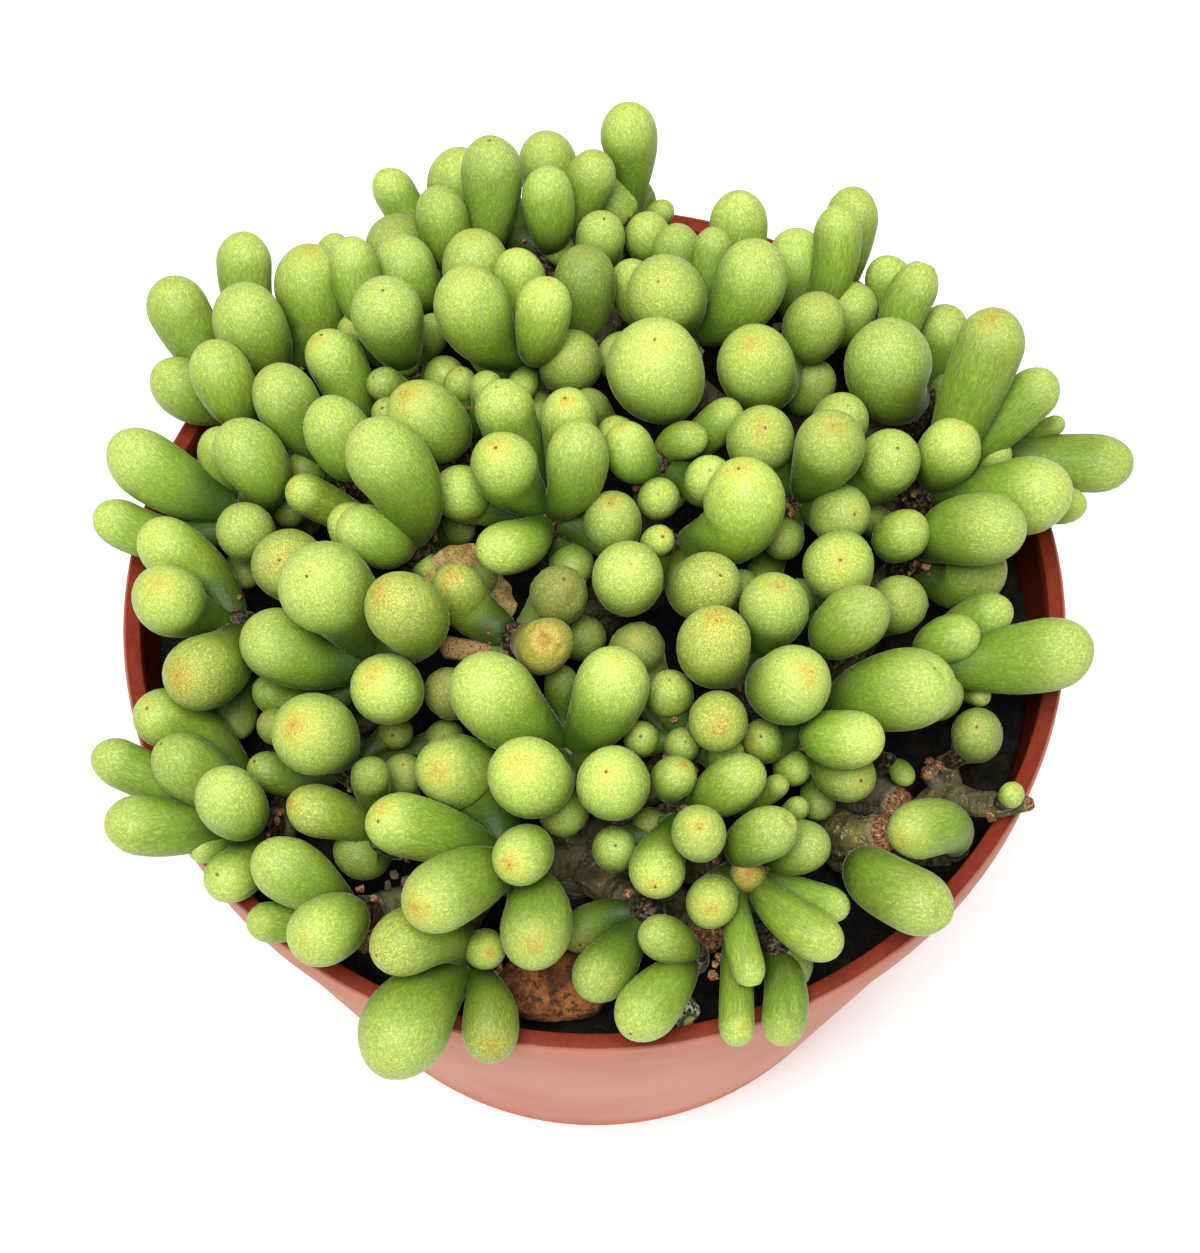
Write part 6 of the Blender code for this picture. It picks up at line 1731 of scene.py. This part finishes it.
# %% Crumbs on the soil
bpy.ops.object.select_all(action="DESELECT")
bpy.ops.mesh.primitive_ico_sphere_add(subdivisions=1, radius=1.0)
model_crumb = bpy.context.object
crumb_points = points_of(model_crumb.data)
crumb_points *= (1.0 + 0.3 * noise_at(crumb_points, 1.2, 5.0))[:, None]
CRUMB_COUNT = 560
crumb_draw = np.random.default_rng(21)
PALE_GRAINS = ((-26.5, -32.5, 0.8), (-24.0, -32.0, 0.9), (-25.7, -31.0, 0.7))
crumbs = [soil_bed]
spots = []
for number in range(CRUMB_COUNT):
    reach_out = soil_edge * math.sqrt(crumb_draw.uniform(0.0, 0.94))
    turn = crumb_draw.uniform(0.0, 2 * math.pi)
    spots.append((reach_out * math.cos(turn), reach_out * math.sin(turn),
                  crumb_draw.uniform(0.3, 0.95), crumb_draw.uniform() > 0.93))
for across, up, size in PALE_GRAINS:
    x, y, _ = at_height(across, up, SOIL_TOP + 0.5)
    spots.append((x, y, size, True))
for number, (x, y, size, pale) in enumerate(spots):
    item = add_copy(f"crumb_{number}", model_crumb.data)
    squash = crumb_draw.uniform(0.6, 1.3, 3) * (1.0, 1.0, 0.7)
    turned = crumb_points * squash * size
    move_points(item.data, (turned + (x, y, SOIL_TOP + 0.35 * size)) * MM)
    paint_all(item.data, pale=0.85 if pale else 0.0)
    crumbs.append(item)
put_away(model_crumb)
soil_bed = join_all("soil_bed", crumbs)
finish_piece(soil_bed, soil_finish(), "soil", "soil")
print("soil", len(soil_bed.data.polygons), "faces", CRUMB_COUNT, "crumbs")

# %% [markdown]
# ## The stone
# One rusty stone lies on the soil at the front.  It starts as an icosphere at the stone's place
# and size, and layered noise gives it its worn corners and pits.

# %% Stone
bpy.ops.object.select_all(action="DESELECT")
bpy.ops.mesh.primitive_ico_sphere_add(subdivisions=6, radius=1.0)
pebble = bpy.context.object
pebble.name = "front_stone"
shape = points_of(pebble.data)
swell = 1.0 + 0.07 * np.sin(3.1 * shape[:, 0] + 1.7 * shape[:, 1])
swell += 0.05 * np.cos(2.7 * shape[:, 2] + 2.1 * shape[:, 0]) - 0.02
swell += 0.05 * noise_at(shape, 2.2, 8.0) + 0.025 * noise_at(shape, 5.5, 3.0)
swell += 0.012 * noise_at(shape, 13.0, 6.0)
places = np.array(STONE_CENTRE) + shape * STONE_SIZE * swell[:, None]
places[:, 2] = np.maximum(places[:, 2], SOIL_TOP + SOIL_RELIEF + GAP)
move_points(pebble.data, places * MM)
only(pebble)
bpy.ops.object.shade_smooth()


def stone_finish():
    skin = Finish("rusty_stone", 0.85, Specular_IOR_Level=0.3)
    spot = skin.place()
    broad = skin.noise(spot, 0.25, 4.0, 0.65)
    fine = skin.noise(spot, 0.9, 5.0, 0.7)
    rust = skin.mix(tint(96, 52, 26), tint(164, 102, 54), broad.above(0.35, 0.65))
    rust = skin.mix(rust, tint(50, 32, 20), fine.above(0.52, 0.4) * 0.85)
    rust = skin.mix(rust, tint(206, 164, 108), fine.above(0.6, 0.74) * 0.6)
    skin.colour(rust)
    skin.roughness(0.72 + 0.2 * fine)
    skin.relief(fine, 0.4)
    return skin.material


finish_piece(pebble, stone_finish(), "rusty_stone", "stone")
print("stone", len(pebble.data.polygons), "faces")

# %% [markdown]
# ## Dried leaves
# Two withered leaves still hang in the middle of the plant.  One is a thin papery blade, cupped
# round the leaf in front of it, with a scalloped edge.  The other has shrunk to a brown stippled
# club.  Both are copies of the model leaf: one pressed flat, one drawn thin and wrinkled.

# %% Dried leaves
BLADE_ENDS = ((-11.5, 0.4), (-21.0, 8.6))     # across and up of its root and its tip
BLADE_DEPTH = 97.5             # height of its root
BLADE_RISE = 6.0               # how much higher its tip is
BLADE_SIZE = (9.5, 1.1)        # width and thickness
CLUB_LINE = ((-10.6, -3.6, 102.0), (-18.4, -2.7, 104.6))
CLUB_WIDTH = 2.7


def dried_finish():
    skin = Finish("dried_leaf", 0.8, Specular_IOR_Level=0.2)
    spot = skin.place()
    broad = skin.noise(spot, 0.5, 3.0, 0.6)
    fine = skin.noise(spot, 2.4, 3.0, 0.7)
    stipple = skin.cells(spot, 3.6).above(0.12, 0.4)
    tan = skin.mix(tint(126, 104, 54), tint(176, 152, 94), broad.above(0.35, 0.65))
    tan = skin.mix(tan, tint(128, 84, 46), fine.above(0.54, 0.7) * 0.5)
    brown = skin.mix(tint(84, 58, 38), tint(158, 126, 84), stipple)
    skin.colour(skin.mix(tan, brown, skin.kept("club", number=True)))
    skin.roughness(0.75 + 0.15 * fine)
    skin.relief(fine + stipple * 0.6, 0.3)
    return skin.material


def blade_points(shape):
    """The model leaf pressed to a cupped, scalloped blade that faces the view point."""
    root = at_height(*BLADE_ENDS[0], BLADE_DEPTH)
    tip = at_height(*BLADE_ENDS[1], BLADE_DEPTH + BLADE_RISE)
    ray = unit(0.5 * (root + tip) - VIEW_POINT)
    line = tip - root
    across = unit(np.cross(line, ray))
    w = shape[:, 2:] / (REACH + CAP)
    width, thickness = BLADE_SIZE
    scallop = 1.0 + 0.07 * np.sin(34.0 * w) + 0.1 * noise_at(shape, 2.0, 3.0)[:, None]
    cup = 6.0 * (2.0 * shape[:, :1]) ** 2 * np.sin(math.pi * np.clip(w, 0.0, 1.0)) ** 0.5
    waves = noise_at(shape * (4.0, 0.2, 3.0), 1.0, 5.0)[:, None]
    return (root + line * w + across * shape[:, :1] * width * scallop
            - ray * (shape[:, 1:2] * thickness + 0.35 * cup + 0.5 * waves))


def club_points(shape):
    """The model leaf drawn out thin, with wrinkles along it."""
    angle = np.arctan2(shape[:, 1], shape[:, 0])
    shape[:, :2] *= (1.0 + 0.14 * noise_at(shape, 2.6, 8.0) + 0.05 * np.sin(7 * angle))[:, None]
    root, middle = (at_height(*end) for end in CLUB_LINE)
    return bent_points(shape, root, middle, unit(middle - root + 0.3 * UP), CLUB_WIDTH)


dried_leaf = dried_finish()
for number, (name, make) in enumerate(zip(DRIED_LEAVES, (blade_points, club_points))):
    item = add_copy(name.replace("dried_leaf", "withered"), model_leaf.data)
    move_points(item.data, make(model_points.copy()) * MM)
    paint_all(item.data, club=number)
    finish_piece(item, dried_leaf, "dried_leaf", name)
put_away(model_leaf)
print("dried leaves", len(DRIED_LEAVES))

# %% [markdown]
# ## Floor and light
# The photograph has a white ground under soft light from above, so bright that it runs out to
# pure white.  A wide pale floor that glows a little, a large soft lamp above, a weak one from
# behind and an even sky give that.

# %% Floor, lamps and sky
bpy.ops.object.select_all(action="DESELECT")
bpy.ops.mesh.primitive_plane_add(size=6.0, location=(0.0, 0.0, 0.0))
floor = bpy.context.object
floor.name = "floor"


def floor_finish():
    skin = Finish("floor", 0.9, Specular_IOR_Level=0.1, Emission_Strength=0.2,
                  Emission_Color=(1.0, 1.0, 1.0, 1.0))
    cloud = skin.noise(skin.place(), 0.01, 2.0)
    skin.colour(skin.mix(tint(250, 250, 250), tint(255, 255, 255), cloud))
    return skin.material


floor.data.materials.append(floor_finish())
floor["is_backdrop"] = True


def add_lamp(name, place, aim, size, power):
    """A square soft lamp that faces a point."""
    light = bpy.data.lights.new(name, "AREA")
    light.size = size
    light.energy = power
    lamp = bpy.data.objects.new(name, light)
    lamp.location = place
    lamp.rotation_euler = (Vector(aim) - Vector(place)).to_track_quat("-Z", "Y").to_euler()
    bpy.context.scene.collection.objects.link(lamp)


add_lamp("lamp_above", (-0.08, -0.22, 0.96), (0.0, 0.0, 0.08), 0.45, 11.8)
add_lamp("lamp_behind", (0.3, 0.7, 0.7), (0.0, 0.0, 0.08), 0.6, 1.5)
sky = bpy.data.worlds.new("sky")
sky.use_nodes = True
sky.node_tree.nodes["Background"].inputs["Color"].default_value = (1.0, 1.0, 1.0, 1.0)
sky.node_tree.nodes["Background"].inputs["Strength"].default_value = 0.2
bpy.context.scene.world = sky
bpy.context.scene.view_settings.view_transform = "Standard"

# %% [markdown]
# ## Both boxes, the CAD model's and the finer pieces'
# The finer pieces must fill the same box as the solids.  Both boxes are printed.

# %% Both boxes
seen_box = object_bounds()
boxes = {"cad": [list(corner) for corner in cad_box],
         "visual": [list(corner) for corner in seen_box]}
for key, (low, high) in boxes.items():
    print(key, [round(1000 * v, 2) for v in low], [round(1000 * v, 2) for v in high])
